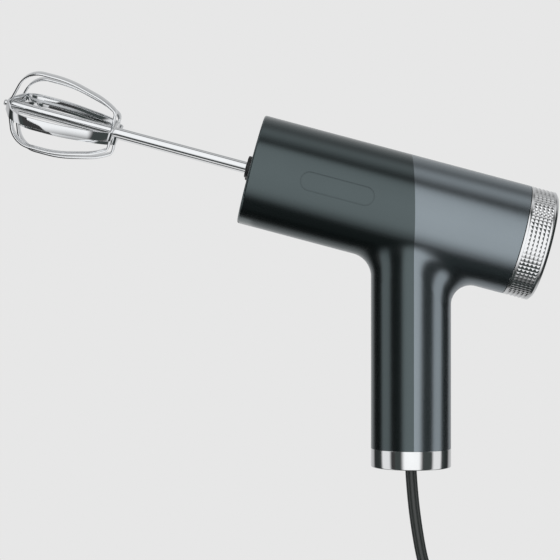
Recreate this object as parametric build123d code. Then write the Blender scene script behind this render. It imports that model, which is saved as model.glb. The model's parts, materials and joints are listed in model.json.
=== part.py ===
from build123d import *

import math
import os

# A hand mixer: a tilted barrel on an upright grip, two beaters at the nose, a knurled speed dial at the
# rear and a mains cord out of the foot. Sizes are millimetres and degrees.
# Z is up and is the axis of the grip, the nose points to -X and up, and the near side is -Y.
# The origin is the middle of the grip.
# The pieces in the barrel are drawn in the barrel's own frame: X to the near side, Y up and square to
# the barrel, Z along the barrel to the nose, with its origin where the two axes cross.

# Housing
BARREL_TILT = 14.9
BARREL_RADIUS = 30.5
BARREL_WALL = 2.5
NOSE_REACH = 91.0
NOSE_EDGE_RADIUS = 1.2
REAR_REACH = 59.6
BULKHEAD_THICKNESS = 3.0
CROSSING_HEIGHT = 90.0
GRIP_RADIUS = 22.0
GRIP_WALL = 3.0
FRONT_BLEND_RADIUS = 13.0
REAR_BLEND_RADIUS = 10.6
FIT_GAP = 0.1
RUNNING_GAP = 0.05
PRESS_GAP = 0.02

# Engraved outline on the near side
OUTLINE_REACH = 42.9
OUTLINE_LENGTH = 41.0
OUTLINE_HEIGHT = 10.4
OUTLINE_LINE = 0.7
OUTLINE_DEPTH = 0.3

# Foot
FOOT_DROP = 50.2
FOOT_RING_HEIGHT = 10.2
FOOT_RING_RADIUS = 22.0
FOOT_RING_WALL = 1.2
FOOT_RING_EDGE = 0.6
FOOT_LIP_HEIGHT = 1.5
FOOT_LIP_WIDTH = 3.4
FOOT_PLATE_THICKNESS = 3.0
GROMMET_RADIUS = 5.0
GROMMET_FLANGE_RADIUS = 7.0
GROMMET_FLANGE_HEIGHT = 2.0
GROMMET_STANDOUT = 1.0

# Housing screws
SCREW_RADIUS = 1.5
SCREW_HEAD_RADIUS = 2.7
SCREW_HEAD_HEIGHT = 2.0
SCREW_BOSS_RADIUS = 3.4
SCREW_INSET = 3.3
SCREW_BOSS_REACH = 25.0
SCREW_REACH = 20.0
SCREW_ANGLES = (45, 135, 225, 315)

# Beater sockets
COLLAR_RADIUS = 6.0
COLLAR_STANDOUT = 2.4
COLLAR_SPIGOT_RADIUS = 5.0
COLLAR_BORE_RADIUS = 4.3
SPINDLE_RADIUS = 4.5
SPINDLE_NOSE_GAP = 0.5
SPINDLE_FLANGE_RADIUS = 6.0
SPINDLE_FLANGE_WIDTH = 2.0
SPINDLE_JOURNAL_RADIUS = 3.0
SOCKET_DEPTH = 29.0
LUG_REACH = 4.0
LUG_WIDTH = 1.4
LUG_LENGTH = 5.0
LUG_SETBACK = 1.0
SLOT_DEPTH = 6.6

# Gearbox
PLATE_THICKNESS = 4.0
PLATE_SETBACK = 8.4
LEDGE_WIDTH = 2.0
GEAR_SPACE = 20.0
BUSH_WALL = 2.0
PILLAR_RADIUS = 2.5
PILLAR_ANGLES = (90, 228, 320)
PILLAR_CLEARANCE = 0.7
AXLE_RADIUS = 2.0
COMPOUND_HUB_RADIUS = 3.5
PRESSURE_ANGLE = 20.0
ADDENDUM = 0.8
DEDENDUM = 1.15
BACKLASH = 0.16
OUTPUT_CLEARANCE = 1.76
OUTPUT_TEETH = 32
OUTPUT_PINION_TEETH = 12
OUTPUT_GEAR_WIDTH = 6.0
OUTPUT_GEAR_SETBACK = 4.0
WHEEL_CLEARANCE = 1.12
WHEEL_TEETH = 38
WHEEL_WIDTH = 4.0
WHEEL_SETBACK = 2.0
MOTOR_PINION_TEETH = 12

# Motor
MOTOR_CLEARANCE = 0.3
MOTOR_WALL = 1.5
MOTOR_LENGTH = 60.0
MOTOR_BOSS_CLEARANCE = 1.25
MOTOR_BOSS_HEIGHT = 3.0
MOTOR_SHAFT_RADIUS = 1.6
BEARING_RADIUS = 4.0
BEARING_LENGTH = 5.0
END_CAP_THICKNESS = 4.0
END_CAP_SPIGOT = 2.0
MAGNET_THICKNESS = 2.8
MAGNET_ANGLE = 130.0
AIR_GAP = 0.6
CORE_LENGTH = 32.0
CORE_SETBACK = 9.0
CORE_SLOTS = 7
CORE_SLOT_RADIUS = 2.6
CORE_SLOT_DEPTH = 4.6
WIRE_BUNDLE_RADIUS = 1.7
WINDING_LENGTH = 4.5
COMMUTATOR_RADIUS = 5.5
COMMUTATOR_LENGTH = 9.0
COMMUTATOR_SETBACK = 3.0
BRUSH_WIDTH = 4.0
BRUSH_LENGTH = 5.0
BRUSH_REACH = 12.0
BRUSH_HOLDER_WALL = 1.5
BRACKET_LENGTH = 10.0
BRACKET_LIP = 2.0
BRACKET_LIP_RADIUS = 15.0
WIRE_NOTCH_WIDTH = 14.0

# Speed control and dial
CONTROL_RADIUS = 8.5
CONTROL_LENGTH = 10.0
CONTROL_BUSHING_RADIUS = 4.5
CONTROL_BUSHING_LENGTH = 3.8
CONTROL_SHAFT_RADIUS = 3.0
CONTROL_SHAFT_FLAT = 2.2
CONTROL_END_WALL = 1.6
BOARD_THICKNESS = 1.6
CAPACITOR_RADIUS = 5.0
CAPACITOR_LENGTH = 16.0
CAPACITOR_PLACE = (7.5, 7.5)
CHOKE_RADIUS = 4.5
CHOKE_LENGTH = 9.0
CHOKE_PLACE = (-9.0, -7.5)
HEAT_SINK_WIDTH = 9.0
HEAT_SINK_DEPTH = 5.0
HEAT_SINK_LENGTH = 18.0
HEAT_SINK_PLACE = (-7.5, 7.5)
DIAL_GAP = 0.4
DIAL_LENGTH = 15.4
DIAL_WALL = 2.2
DIAL_FRONT_RIM = 1.4
DIAL_EDGE_RADIUS = 1.6
KNURL_ROWS = 5
KNURL_PITCH = 2.27
KNURL_DEPTH = 1.1
KNURL_COUNT = 84
HUB_DISC_THICKNESS = 2.5
HUB_POST_RADIUS = 5.5
DIAL_SPIGOT_RADIUS = 12.0
DIAL_SPIGOT_WALL = 3.0
DIAL_SPIGOT_LENGTH = 8.0
HUB_SKIRT_WALL = 2.5
HUB_END_GAP = 0.8

# Beaters
BEATER_SHAFT_RADIUS = 2.5
BEATER_TURN = -22.5
BEATER_INSERT = 28.5
STRIP_WIDTH = 5.0
STRIP_THICKNESS = 1.2
LOOP_STACK_GAP = 0.05
LOOP_ROOT = 76.0
LOOP_TIP = 136.4
LOOP_TIP_FLAT = 3.4
LOOP_ROOT_CORNER = 11.4
LOOP_SHOULDER = (16.2, 9.0)
LOOP_BELLY_START = (21.8, 30.0)
LOOP_BELLY_END = (21.7, 53.6)
LOOP_CORNER_RADII = (4.0, 40.0, 60.0, 8.0, 4.0)
TIP_STUD_RADIUS = 1.65
TIP_STUD_LENGTH = 2.0
DETENT_GROOVE_DEPTH = 0.4
DETENT_GROOVE_WIDTH = 2.0

# Wiring in the grip
CORD_RADIUS = 3.15
CLAMP_CENTRE = -29.0
CLAMP_HEIGHT = 8.0
CLAMP_WIDTH = 22.0
CLAMP_THICKNESS = 7.0
CLAMP_GAP = 0.3
CLAMP_SCREW_OFFSET = 7.5
CLAMP_SCREW_LENGTH = 17.0
TERMINAL_BASE = 10.0
TERMINAL_DEPTH = 12.0
TERMINAL_WIDTH = 16.0
TERMINAL_HEIGHT = 20.0
TERMINAL_FRONT = -9.0
TERMINAL_RIB_WIDTH = 12.0
TERMINAL_SLOT = 2.0
LEAD_RADIUS = 1.0
LEAD_OFFSET = 3.0
LEAD_BEND = 4.0
MOTOR_LEAD_RADIUS = 0.8

# Cord outside, with its put-away coil and plug
CORD_CORNERS = ((0.0, 4.5), (2.9, 30.0), (8.9, 60.0), (21.6, 76.3), (43.5, 86.0))
CORD_LAST_RUN = 16.0
CORD_ARC_SHARE = 0.45
COIL_OUTER_RADIUS = 39.9
COIL_TURNS = 4
COIL_TUBE_GAP = 0.6
TIE_WIDTH = 7.0
TIE_THICKNESS = 0.65
TIE_GAP = 0.35
TAIL_RUNS = (12.0, 18.0, 12.0)
TAIL_SHIFT = -4.0
PLUG_WIDTH = 35.0
PLUG_THICKNESS = 13.7
PLUG_CORNER = 5.0
PLUG_STRAIGHT = 16.0
PLUG_TAPER = 20.0
PLUG_NECK_RADIUS = 4.6
PLUG_NECK_CORNER = 4.0
PLUG_PIN_RADIUS = 2.0
PLUG_PIN_ROOT_RADIUS = 1.5
PLUG_SLEEVE_RADIUS = 1.7
PLUG_SLEEVE_LENGTH = 10.0
PLUG_PIN_LENGTH = 19.0
PLUG_PIN_SPACING = 19.0
PLUG_PIN_SEAT = 6.0

# Stations along the barrel and heights on the grip
BARREL_BORE = BARREL_RADIUS - BARREL_WALL
GRIP_BORE = GRIP_RADIUS - GRIP_WALL
SCREW_CIRCLE_RADIUS = BARREL_BORE - SCREW_INSET
MOTOR_RADIUS = SCREW_CIRCLE_RADIUS - SCREW_BOSS_RADIUS - MOTOR_CLEARANCE
BOARD_WIDTH = MOTOR_RADIUS * math.sqrt(2)
LEAD_DROP = (MOTOR_RADIUS + BARREL_BORE) / 2
PILLAR_CIRCLE_RADIUS = BARREL_BORE - PILLAR_RADIUS - PILLAR_CLEARANCE
OUTPUT_MODULE = (BARREL_BORE - OUTPUT_CLEARANCE) / (OUTPUT_TEETH + ADDENDUM)
FIRST_MODULE = (BARREL_BORE - WHEEL_CLEARANCE) / (WHEEL_TEETH + MOTOR_PINION_TEETH / 2 + ADDENDUM)
NOSE_INNER = NOSE_REACH - BARREL_WALL
FRONT_PLATE_FRONT = NOSE_INNER - PLATE_SETBACK
FRONT_PLATE_REAR = FRONT_PLATE_FRONT - PLATE_THICKNESS
REAR_PLATE_FRONT = FRONT_PLATE_REAR - GEAR_SPACE
REAR_PLATE_REAR = REAR_PLATE_FRONT - PLATE_THICKNESS
OUTPUT_FRONT = FRONT_PLATE_REAR - OUTPUT_GEAR_SETBACK
OUTPUT_REAR = OUTPUT_FRONT - OUTPUT_GEAR_WIDTH
WHEEL_REAR = REAR_PLATE_FRONT + WHEEL_SETBACK
WHEEL_FRONT = WHEEL_REAR + WHEEL_WIDTH
MOTOR_FRONT = REAR_PLATE_REAR
MOTOR_REAR = MOTOR_FRONT - MOTOR_LENGTH
END_CAP_REAR = MOTOR_REAR - END_CAP_THICKNESS
CORE_FRONT = MOTOR_FRONT - CORE_SETBACK
CORE_REAR = CORE_FRONT - CORE_LENGTH
MOTOR_BORE = MOTOR_RADIUS - MOTOR_WALL
CORE_RADIUS = MOTOR_BORE - FIT_GAP - MAGNET_THICKNESS - AIR_GAP
COMMUTATOR_REAR = MOTOR_REAR + COMMUTATOR_SETBACK
COMMUTATOR_FRONT = COMMUTATOR_REAR + COMMUTATOR_LENGTH
SHAFT_FRONT = WHEEL_FRONT + WHEEL_SETBACK
BULKHEAD_REAR = -REAR_REACH
BULKHEAD_FRONT = BULKHEAD_REAR + BULKHEAD_THICKNESS
BUSHING_REAR = BULKHEAD_FRONT - CONTROL_BUSHING_LENGTH
CONTROL_FRONT = BULKHEAD_FRONT + CONTROL_LENGTH
BOARD_FRONT = CONTROL_FRONT + BOARD_THICKNESS
DIAL_FRONT = BULKHEAD_REAR - DIAL_GAP
DIAL_REAR = DIAL_FRONT - DIAL_LENGTH
DIAL_BORE = BARREL_RADIUS - DIAL_WALL
HUB_REAR = DIAL_REAR + DIAL_WALL
HUB_FRONT = HUB_REAR + HUB_DISC_THICKNESS
SOCKET_X = OUTPUT_MODULE * OUTPUT_TEETH / 2
REAR_BUSH_RADIUS = SPINDLE_JOURNAL_RADIUS + RUNNING_GAP + BUSH_WALL
MOTOR_BOSS_RADIUS = SOCKET_X - REAR_BUSH_RADIUS - MOTOR_BOSS_CLEARANCE
SPINDLE_MOUTH = NOSE_INNER - SPINDLE_NOSE_GAP
FOOT_BOTTOM = -FOOT_DROP
FOOT_RING_TOP = FOOT_BOTTOM + FOOT_RING_HEIGHT
FOOT_PLATE_BOTTOM = FOOT_BOTTOM + FOOT_LIP_HEIGHT
FOOT_PLATE_TOP = FOOT_PLATE_BOTTOM + FOOT_PLATE_THICKNESS
FOOT_RING_BORE = FOOT_RING_RADIUS - FOOT_RING_WALL
CORD_EXIT = FOOT_PLATE_BOTTOM - GROMMET_STANDOUT
COIL_START = (CORD_CORNERS[-1][0] + CORD_LAST_RUN, 0.0, FOOT_BOTTOM - CORD_CORNERS[-1][1])
COIL_ARC_X = COIL_START[0] + 2 * CORD_RADIUS
COIL_PITCH = 2 * CORD_RADIUS + COIL_TUBE_GAP
COIL_HALF_TURNS = 2 * COIL_TURNS + 1
COIL_MIDDLE = COIL_HALF_TURNS // 2
FLOOR = COIL_START[2] - CORD_RADIUS - TIE_GAP - TIE_THICKNESS
PLUG_PIN_PLACES = (-PLUG_PIN_SPACING / 2, PLUG_PIN_SPACING / 2)

TOLERANCE = 0.01
FROM_BOTTOM = (Align.CENTER, Align.CENTER, Align.MIN)
TILT = math.radians(BARREL_TILT)
BARREL_AXIS = Axis((0, 0, CROSSING_HEIGHT), (-math.cos(TILT), 0, math.sin(TILT)))
BARREL = Location(Plane(origin=BARREL_AXIS.position, x_dir=(0, -1, 0), z_dir=BARREL_AXIS.direction))
SIDES = {"near": SOCKET_X, "far": -SOCKET_X}


def rod(radius, start, end, x=0.0, y=0.0):
    """A round bar along Z from start to end."""
    return Pos(x, y, start) * Cylinder(radius, end - start, align=FROM_BOTTOM)


def tube(outer, inner, start, end, x=0.0, y=0.0):
    """A round tube along Z from start to end."""
    return rod(outer, start, end, x, y) - rod(inner, start, end, x, y)


def block(x_range, y_range, z_range):
    """A box between two values on each axis."""
    spans = (x_range, y_range, z_range)
    centre = [(low + high) / 2 for low, high in spans]
    return Pos(*centre) * Box(*[high - low for low, high in spans])


def polar(radius, angle):
    """The point at a radius and an angle in degrees."""
    turn = math.radians(angle)
    return radius * math.cos(turn), radius * math.sin(turn)


def barrel_point(x, y, z):
    """A point of the barrel's frame, in the part's frame."""
    return (BARREL * Pos(x, y, z)).position


SCREW_PLACES = [polar(SCREW_CIRCLE_RADIUS, angle) for angle in SCREW_ANGLES]
PILLAR_PLACES = [polar(PILLAR_CIRCLE_RADIUS, angle) for angle in PILLAR_ANGLES]


# Gears


def involute(radius, base):
    """The involute angle at a radius, in radians."""
    if radius <= base:
        return 0.0
    pressure = math.acos(base / radius)
    return math.tan(pressure) - pressure


def gear_face(module, teeth, phase):
    """A spur gear's outline as a face, with a tooth centred on the phase angle."""
    pitch = module * teeth / 2
    base = pitch * math.cos(math.radians(PRESSURE_ANGLE))
    root = pitch - DEDENDUM * module
    tip = pitch + ADDENDUM * module
    half = (math.pi * module - BACKLASH) / (4 * pitch) + involute(pitch, base)
    radii = (root, max(root, base) + (pitch - base) / 2, tip)
    points = []
    for tooth in range(teeth):
        centre = math.radians(phase) + 2 * math.pi * tooth / teeth
        flank = [(radius, half - involute(radius, base)) for radius in radii]
        points += [(radius, centre - angle) for radius, angle in flank]
        points += [(radius, centre + angle) for radius, angle in reversed(flank)]
    corners = [(radius * math.cos(angle), radius * math.sin(angle)) for radius, angle in points]
    return make_face(Polyline(*corners, close=True))


def gear(module, teeth, phase, start, end, place):
    """A spur gear along Z at a place."""
    return Pos(place[0], place[1], start) * extrude(gear_face(module, teeth, phase), end - start)


def meshing_phase(teeth, phase, place, mate_teeth, mate_place):
    """The phase that puts a mate's gap on this gear's tooth."""
    line = math.degrees(math.atan2(mate_place[1] - place[1], mate_place[0] - place[0]))
    shift = ((line - phase) * teeth / 360) % 1.0
    return line + 180 + (shift + 0.5) * 360 / mate_teeth


def compound_place():
    """Where the compound gear's axle stands: in mesh with the motor pinion and the near output gear."""
    to_motor = FIRST_MODULE * (WHEEL_TEETH + MOTOR_PINION_TEETH) / 2
    to_output = OUTPUT_MODULE * (OUTPUT_TEETH + OUTPUT_PINION_TEETH) / 2
    across = (to_motor**2 - to_output**2 + SOCKET_X**2) / (2 * SOCKET_X)
    return across, -math.sqrt(to_motor**2 - across**2)


COMPOUND = compound_place()
NEAR_PLACE = (SIDES["near"], 0.0)
FAR_PLACE = (SIDES["far"], 0.0)
FAR_PHASE = meshing_phase(OUTPUT_TEETH, 0.0, NEAR_PLACE, OUTPUT_TEETH, FAR_PLACE)
COMPOUND_PHASE = meshing_phase(OUTPUT_TEETH, 0.0, NEAR_PLACE, OUTPUT_PINION_TEETH, COMPOUND)
MOTOR_PHASE = meshing_phase(WHEEL_TEETH, 0.0, COMPOUND, MOTOR_PINION_TEETH, (0.0, 0.0))
OUTPUT_PHASES = {"near": 0.0, "far": FAR_PHASE}


# Housing


def housing_outside(side, blend):
    """The outer form of the front or rear half, with its own blend between barrel and grip."""
    barrel = BARREL * rod(BARREL_RADIUS, BULKHEAD_REAR, NOSE_REACH)
    grip = rod(GRIP_RADIUS, FOOT_RING_TOP, CROSSING_HEIGHT)
    body = (barrel + grip) & half_space(side)
    return fillet([edge for edge in body.edges() if is_junction(edge)], blend)


def is_junction(edge):
    """Whether an edge is where the barrel and the grip meet."""
    middle = edge @ 0.5
    on_grip = abs(math.hypot(middle.X, middle.Y) - GRIP_RADIUS) < TOLERANCE
    return on_grip and middle.Z > FOOT_RING_TOP + GRIP_RADIUS and abs(middle.X) > TOLERANCE


def housing_cavity():
    """The hollow of both halves: the barrel's bore with a ledge for the gearbox, and the grip's bore."""
    bore = rod(BARREL_BORE, BULKHEAD_FRONT, FRONT_PLATE_FRONT)
    bore += rod(BARREL_BORE - LEDGE_WIDTH, FRONT_PLATE_FRONT, NOSE_INNER)
    grip = rod(GRIP_BORE, FOOT_PLATE_TOP - FIT_GAP, CROSSING_HEIGHT)
    return BARREL * bore + grip


def screw_bosses():
    """Bosses along the barrel for the long housing screws."""
    start = BULKHEAD_REAR + BULKHEAD_THICKNESS / 2
    bosses = [rod(SCREW_BOSS_RADIUS, start, SCREW_BOSS_REACH, *place) for place in SCREW_PLACES]
    inside = rod(BARREL_BORE + BARREL_WALL / 2, BULKHEAD_REAR, NOSE_REACH)
    return BARREL * ((Part() + bosses) & inside)


def screw_holes():
    """Holes along the housing screws."""
    holes = [rod(SCREW_RADIUS + RUNNING_GAP, BULKHEAD_REAR, SCREW_REACH, *place) for place in SCREW_PLACES]
    return BARREL * (Part() + holes)


def grip_spigot():
    """The neck below the grip that the foot ring slides over."""
    return tube(FOOT_RING_BORE - FIT_GAP, GRIP_BORE, FOOT_PLATE_TOP, FOOT_RING_TOP)


def half_space(side):
    """Everything on one side of the seam."""
    far = 3 * NOSE_REACH
    return block((min(0, side * far), max(0, side * far)), (-far, far), (-far, far))


def outline_groove():
    """The engraved pill outline on the near side of the barrel."""
    inner = OUTLINE_HEIGHT - 2 * OUTLINE_LINE
    field = SlotOverall(OUTLINE_LENGTH, OUTLINE_HEIGHT)
    field -= SlotOverall(OUTLINE_LENGTH - 2 * OUTLINE_LINE, inner)
    face = Plane(origin=(0, 0, OUTLINE_REACH), x_dir=(0, 0, 1), z_dir=(1, 0, 0)) * field
    cutter = extrude(face, 2 * BARREL_RADIUS)
    return BARREL * (cutter - rod(BARREL_RADIUS - OUTLINE_DEPTH, 0, NOSE_REACH))


def clamp_rib():
    """The rib in the front shell that the cord clamp screws to."""
    low = CLAMP_CENTRE - CLAMP_HEIGHT / 2
    high = CLAMP_CENTRE + CLAMP_HEIGHT / 2
    half = CLAMP_WIDTH / 2
    rib = block((-GRIP_RADIUS, -CLAMP_GAP), (-half, half), (low, high))
    rib &= rod(GRIP_BORE + GRIP_WALL / 2, low, high)
    return rib - rod(CORD_RADIUS + RUNNING_GAP, low, high) - clamp_screw_holes()


def clamp_screw_holes():
    """Holes for the two screws of the cord clamp, along X."""
    hole = Rot(0, 90, 0) * Cylinder(SCREW_RADIUS + PRESS_GAP, 2 * CLAMP_SCREW_LENGTH)
    return Part() + [Pos(0, side * CLAMP_SCREW_OFFSET, CLAMP_CENTRE) * hole for side in (-1, 1)]


def terminal_rib():
    """The rib in the front shell that carries the terminal block."""
    low = TERMINAL_BASE
    high = TERMINAL_BASE + TERMINAL_HEIGHT
    half = TERMINAL_RIB_WIDTH / 2
    rib = block((-GRIP_RADIUS, TERMINAL_FRONT), (-half, half), (low, high))
    return rib & rod(GRIP_BORE + GRIP_WALL / 2, low, high)


def front_housing():
    shell = housing_outside(-1, FRONT_BLEND_RADIUS)
    shell = fillet(nose_edges(shell), NOSE_EDGE_RADIUS)
    shell -= housing_cavity()
    shell += (screw_bosses() & half_space(-1)) + (grip_spigot() & half_space(-1))
    shell += clamp_rib() + terminal_rib()
    shell -= screw_holes()
    holes = [rod(COLLAR_SPIGOT_RADIUS + RUNNING_GAP, NOSE_INNER, NOSE_REACH, x) for x in SIDES.values()]
    shell -= BARREL * (Part() + holes)
    return shell - outline_groove()


def nose_edges(shell):
    """The edge round the nose face."""
    return shell.faces().sort_by(BARREL_AXIS)[-1].edges()


def rear_housing():
    shell = housing_outside(1, REAR_BLEND_RADIUS) - housing_cavity()
    shell += (screw_bosses() & half_space(1)) + (grip_spigot() & half_space(1))
    spigot_bore = DIAL_SPIGOT_RADIUS - DIAL_SPIGOT_WALL
    shell += BARREL * tube(DIAL_SPIGOT_RADIUS, spigot_bore, BULKHEAD_REAR - DIAL_SPIGOT_LENGTH, BULKHEAD_REAR)
    shell -= BARREL * rod(CONTROL_BUSHING_RADIUS + RUNNING_GAP, BULKHEAD_REAR, BULKHEAD_FRONT)
    return shell - screw_holes()


def housing_screws():
    screws = []
    for place in SCREW_PLACES:
        screw = rod(SCREW_RADIUS, BULKHEAD_REAR, SCREW_REACH, *place)
        screw += rod(SCREW_HEAD_RADIUS, BULKHEAD_REAR - SCREW_HEAD_HEIGHT, BULKHEAD_REAR, *place)
        screws.append(screw)
    return BARREL * (Part() + screws)


# Foot and wiring in the grip


def foot_ring():
    ring = tube(FOOT_RING_RADIUS, FOOT_RING_BORE, FOOT_BOTTOM, FOOT_RING_TOP)
    ring += tube(FOOT_RING_BORE, FOOT_RING_BORE - FOOT_LIP_WIDTH, FOOT_BOTTOM, FOOT_PLATE_BOTTOM)
    circles = ring.edges().filter_by(GeomType.CIRCLE)
    outer = [edge for edge in circles if abs(edge.radius - FOOT_RING_RADIUS) < TOLERANCE]
    return fillet(min(outer, key=lambda edge: edge.center().Z), FOOT_RING_EDGE)


def foot_plate():
    plate = rod(FOOT_RING_BORE - FIT_GAP, FOOT_PLATE_BOTTOM, FOOT_PLATE_TOP)
    return plate - rod(GROMMET_RADIUS, FOOT_PLATE_BOTTOM, FOOT_PLATE_TOP)


def cord_grommet():
    top = FOOT_PLATE_TOP + GROMMET_FLANGE_HEIGHT
    grommet = rod(GROMMET_RADIUS - RUNNING_GAP, CORD_EXIT, top)
    grommet += rod(GROMMET_FLANGE_RADIUS, FOOT_PLATE_TOP, top)
    return grommet - rod(CORD_RADIUS + RUNNING_GAP, CORD_EXIT, top)


def supply_lead():
    return rod(CORD_RADIUS, CORD_EXIT, TERMINAL_BASE)


def cord_clamp():
    low = CLAMP_CENTRE - CLAMP_HEIGHT / 2
    high = CLAMP_CENTRE + CLAMP_HEIGHT / 2
    half = CLAMP_WIDTH / 2
    bar = block((CLAMP_GAP, CLAMP_THICKNESS), (-half, half), (low, high))
    return bar - rod(CORD_RADIUS + RUNNING_GAP, low, high) - clamp_screw_holes()


def cord_clamp_screws():
    screws = []
    for side in (-1, 1):
        shank = rod(SCREW_RADIUS, -CLAMP_SCREW_LENGTH, 0)
        screw = shank + rod(SCREW_HEAD_RADIUS, 0, SCREW_HEAD_HEIGHT)
        screws.append(Pos(CLAMP_THICKNESS, side * CLAMP_SCREW_OFFSET, CLAMP_CENTRE) * Rot(0, 90, 0) * screw)
    return Part() + screws


def terminal_block():
    rear = TERMINAL_FRONT + TERMINAL_DEPTH
    half = TERMINAL_WIDTH / 2
    heights = (TERMINAL_BASE, TERMINAL_BASE + TERMINAL_HEIGHT)
    body = block((TERMINAL_FRONT, rear), (-half, half), heights)
    return body - block((rear - TERMINAL_SLOT, rear), (-TERMINAL_SLOT / 2, TERMINAL_SLOT / 2), heights)


def lead_route(offset):
    """The route of a mains lead from the terminal block, under the motor, to the control board."""
    x = TERMINAL_FRONT + TERMINAL_DEPTH / 2
    corner = barrel_point(-offset, -LEAD_DROP, (-x - LEAD_DROP * math.sin(TILT)) / math.cos(TILT))
    turn = barrel_point(-offset, -LEAD_DROP, BOARD_FRONT + BOARD_WIDTH / 2)
    rise = barrel_point(-offset, -BOARD_WIDTH / 3, BOARD_FRONT + BOARD_WIDTH / 3)
    end = barrel_point(-offset, -BOARD_WIDTH / 3, BOARD_FRONT)
    start = (x, offset, TERMINAL_BASE + TERMINAL_HEIGHT)
    return [start, corner, turn, rise, end]


def mains_leads():
    leads = []
    for side in (-1, 1):
        path = FilletPolyline(*lead_route(side * LEAD_OFFSET), radius=LEAD_BEND)
        leads.append(sweep(Plane(path @ 0, z_dir=path % 0) * Circle(LEAD_RADIUS), path))
    return Part() + leads


# Gearbox


def gearbox_plate(start, end, centre_hole, spindle_hole):
    plate = rod(BARREL_BORE - FIT_GAP, start, end)
    for x in SIDES.values():
        plate -= rod(spindle_hole, start, end, x)
    if centre_hole:
        plate -= rod(centre_hole, start, end)
    for place in (COMPOUND, *PILLAR_PLACES):
        plate -= rod(AXLE_RADIUS + PRESS_GAP, start, end, *place)
    return BARREL * plate


def gearbox_front_plate():
    hole = SPINDLE_RADIUS + RUNNING_GAP + BUSH_WALL + PRESS_GAP
    return gearbox_plate(FRONT_PLATE_REAR, FRONT_PLATE_FRONT, 0, hole)


def gearbox_rear_plate():
    hole = REAR_BUSH_RADIUS + PRESS_GAP
    return gearbox_plate(REAR_PLATE_REAR, REAR_PLATE_FRONT, MOTOR_BOSS_RADIUS + FIT_GAP, hole)


def gearbox_pillars():
    pillars = []
    for place in PILLAR_PLACES:
        pillar = rod(PILLAR_RADIUS, REAR_PLATE_FRONT, FRONT_PLATE_REAR, *place)
        pillars.append(pillar + rod(AXLE_RADIUS, REAR_PLATE_REAR, FRONT_PLATE_FRONT, *place))
    return BARREL * (Part() + pillars)


def bushes(radius, start, end):
    inner = radius + RUNNING_GAP
    return BARREL * (Part() + [tube(inner + BUSH_WALL, inner, start, end, x) for x in SIDES.values()])


def spindle(x):
    """A hollow output spindle with a cross slot at its mouth for the beater's lugs."""
    body = rod(SPINDLE_RADIUS, REAR_PLATE_FRONT + FIT_GAP, SPINDLE_MOUTH, x)
    body += rod(SPINDLE_JOURNAL_RADIUS, REAR_PLATE_REAR + FIT_GAP, REAR_PLATE_FRONT + FIT_GAP, x)
    body += rod(SPINDLE_FLANGE_RADIUS, OUTPUT_REAR - SPINDLE_FLANGE_WIDTH, OUTPUT_REAR, x)
    body -= rod(BEATER_SHAFT_RADIUS + RUNNING_GAP, NOSE_REACH - SOCKET_DEPTH, SPINDLE_MOUTH, x)
    half = LUG_WIDTH / 2 + RUNNING_GAP
    reach = 2 * SPINDLE_RADIUS
    slot = block((-reach, reach), (-half, half), (SPINDLE_MOUTH - SLOT_DEPTH, SPINDLE_MOUTH))
    return BARREL * (body - Pos(x, 0, 0) * slot)


def spindle_gear(side):
    x = SIDES[side]
    wheel = gear(OUTPUT_MODULE, OUTPUT_TEETH, OUTPUT_PHASES[side], OUTPUT_REAR, OUTPUT_FRONT, (x, 0))
    return BARREL * (wheel - rod(SPINDLE_RADIUS + PRESS_GAP, OUTPUT_REAR, OUTPUT_FRONT, x))


def compound_gear():
    body = rod(COMPOUND_HUB_RADIUS, REAR_PLATE_FRONT + FIT_GAP, FRONT_PLATE_REAR - FIT_GAP, *COMPOUND)
    body += gear(FIRST_MODULE, WHEEL_TEETH, 0.0, WHEEL_REAR, WHEEL_FRONT, COMPOUND)
    body += gear(OUTPUT_MODULE, OUTPUT_PINION_TEETH, COMPOUND_PHASE, WHEEL_FRONT, OUTPUT_FRONT, COMPOUND)
    bore = rod(AXLE_RADIUS + RUNNING_GAP, REAR_PLATE_FRONT, FRONT_PLATE_REAR, *COMPOUND)
    return BARREL * (body - bore)


def compound_axle():
    return BARREL * rod(AXLE_RADIUS, REAR_PLATE_REAR, FRONT_PLATE_FRONT, *COMPOUND)


def socket_collar(x):
    collar = rod(COLLAR_RADIUS, NOSE_REACH, NOSE_REACH + COLLAR_STANDOUT, x)
    collar += rod(COLLAR_SPIGOT_RADIUS, NOSE_INNER, NOSE_REACH, x)
    collar -= rod(COLLAR_BORE_RADIUS, NOSE_INNER, NOSE_REACH + COLLAR_STANDOUT, x)
    return BARREL * collar


# Motor


def motor_can():
    bearing_rear = MOTOR_FRONT + MOTOR_BOSS_HEIGHT - BEARING_LENGTH
    can = rod(MOTOR_RADIUS, MOTOR_REAR, MOTOR_FRONT) - rod(MOTOR_BORE, MOTOR_REAR, MOTOR_FRONT - MOTOR_WALL)
    can += rod(MOTOR_BOSS_RADIUS, bearing_rear, MOTOR_FRONT + MOTOR_BOSS_HEIGHT)
    return BARREL * (can - rod(BEARING_RADIUS + PRESS_GAP, bearing_rear, MOTOR_FRONT + MOTOR_BOSS_HEIGHT))


def motor_bearing(start):
    return BARREL * tube(BEARING_RADIUS, MOTOR_SHAFT_RADIUS + RUNNING_GAP, start, start + BEARING_LENGTH)


def brush_channel(side, gap):
    """The space of one carbon brush, widened by a gap."""
    half = BRUSH_WIDTH / 2 + gap
    middle = (COMMUTATOR_REAR + COMMUTATOR_FRONT) / 2
    length = BRUSH_LENGTH / 2 + gap
    start = COMMUTATOR_RADIUS + RUNNING_GAP
    ends = sorted((side * start, side * BRUSH_REACH))
    return block(ends, (-half, half), (middle - length, middle + length))


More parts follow.
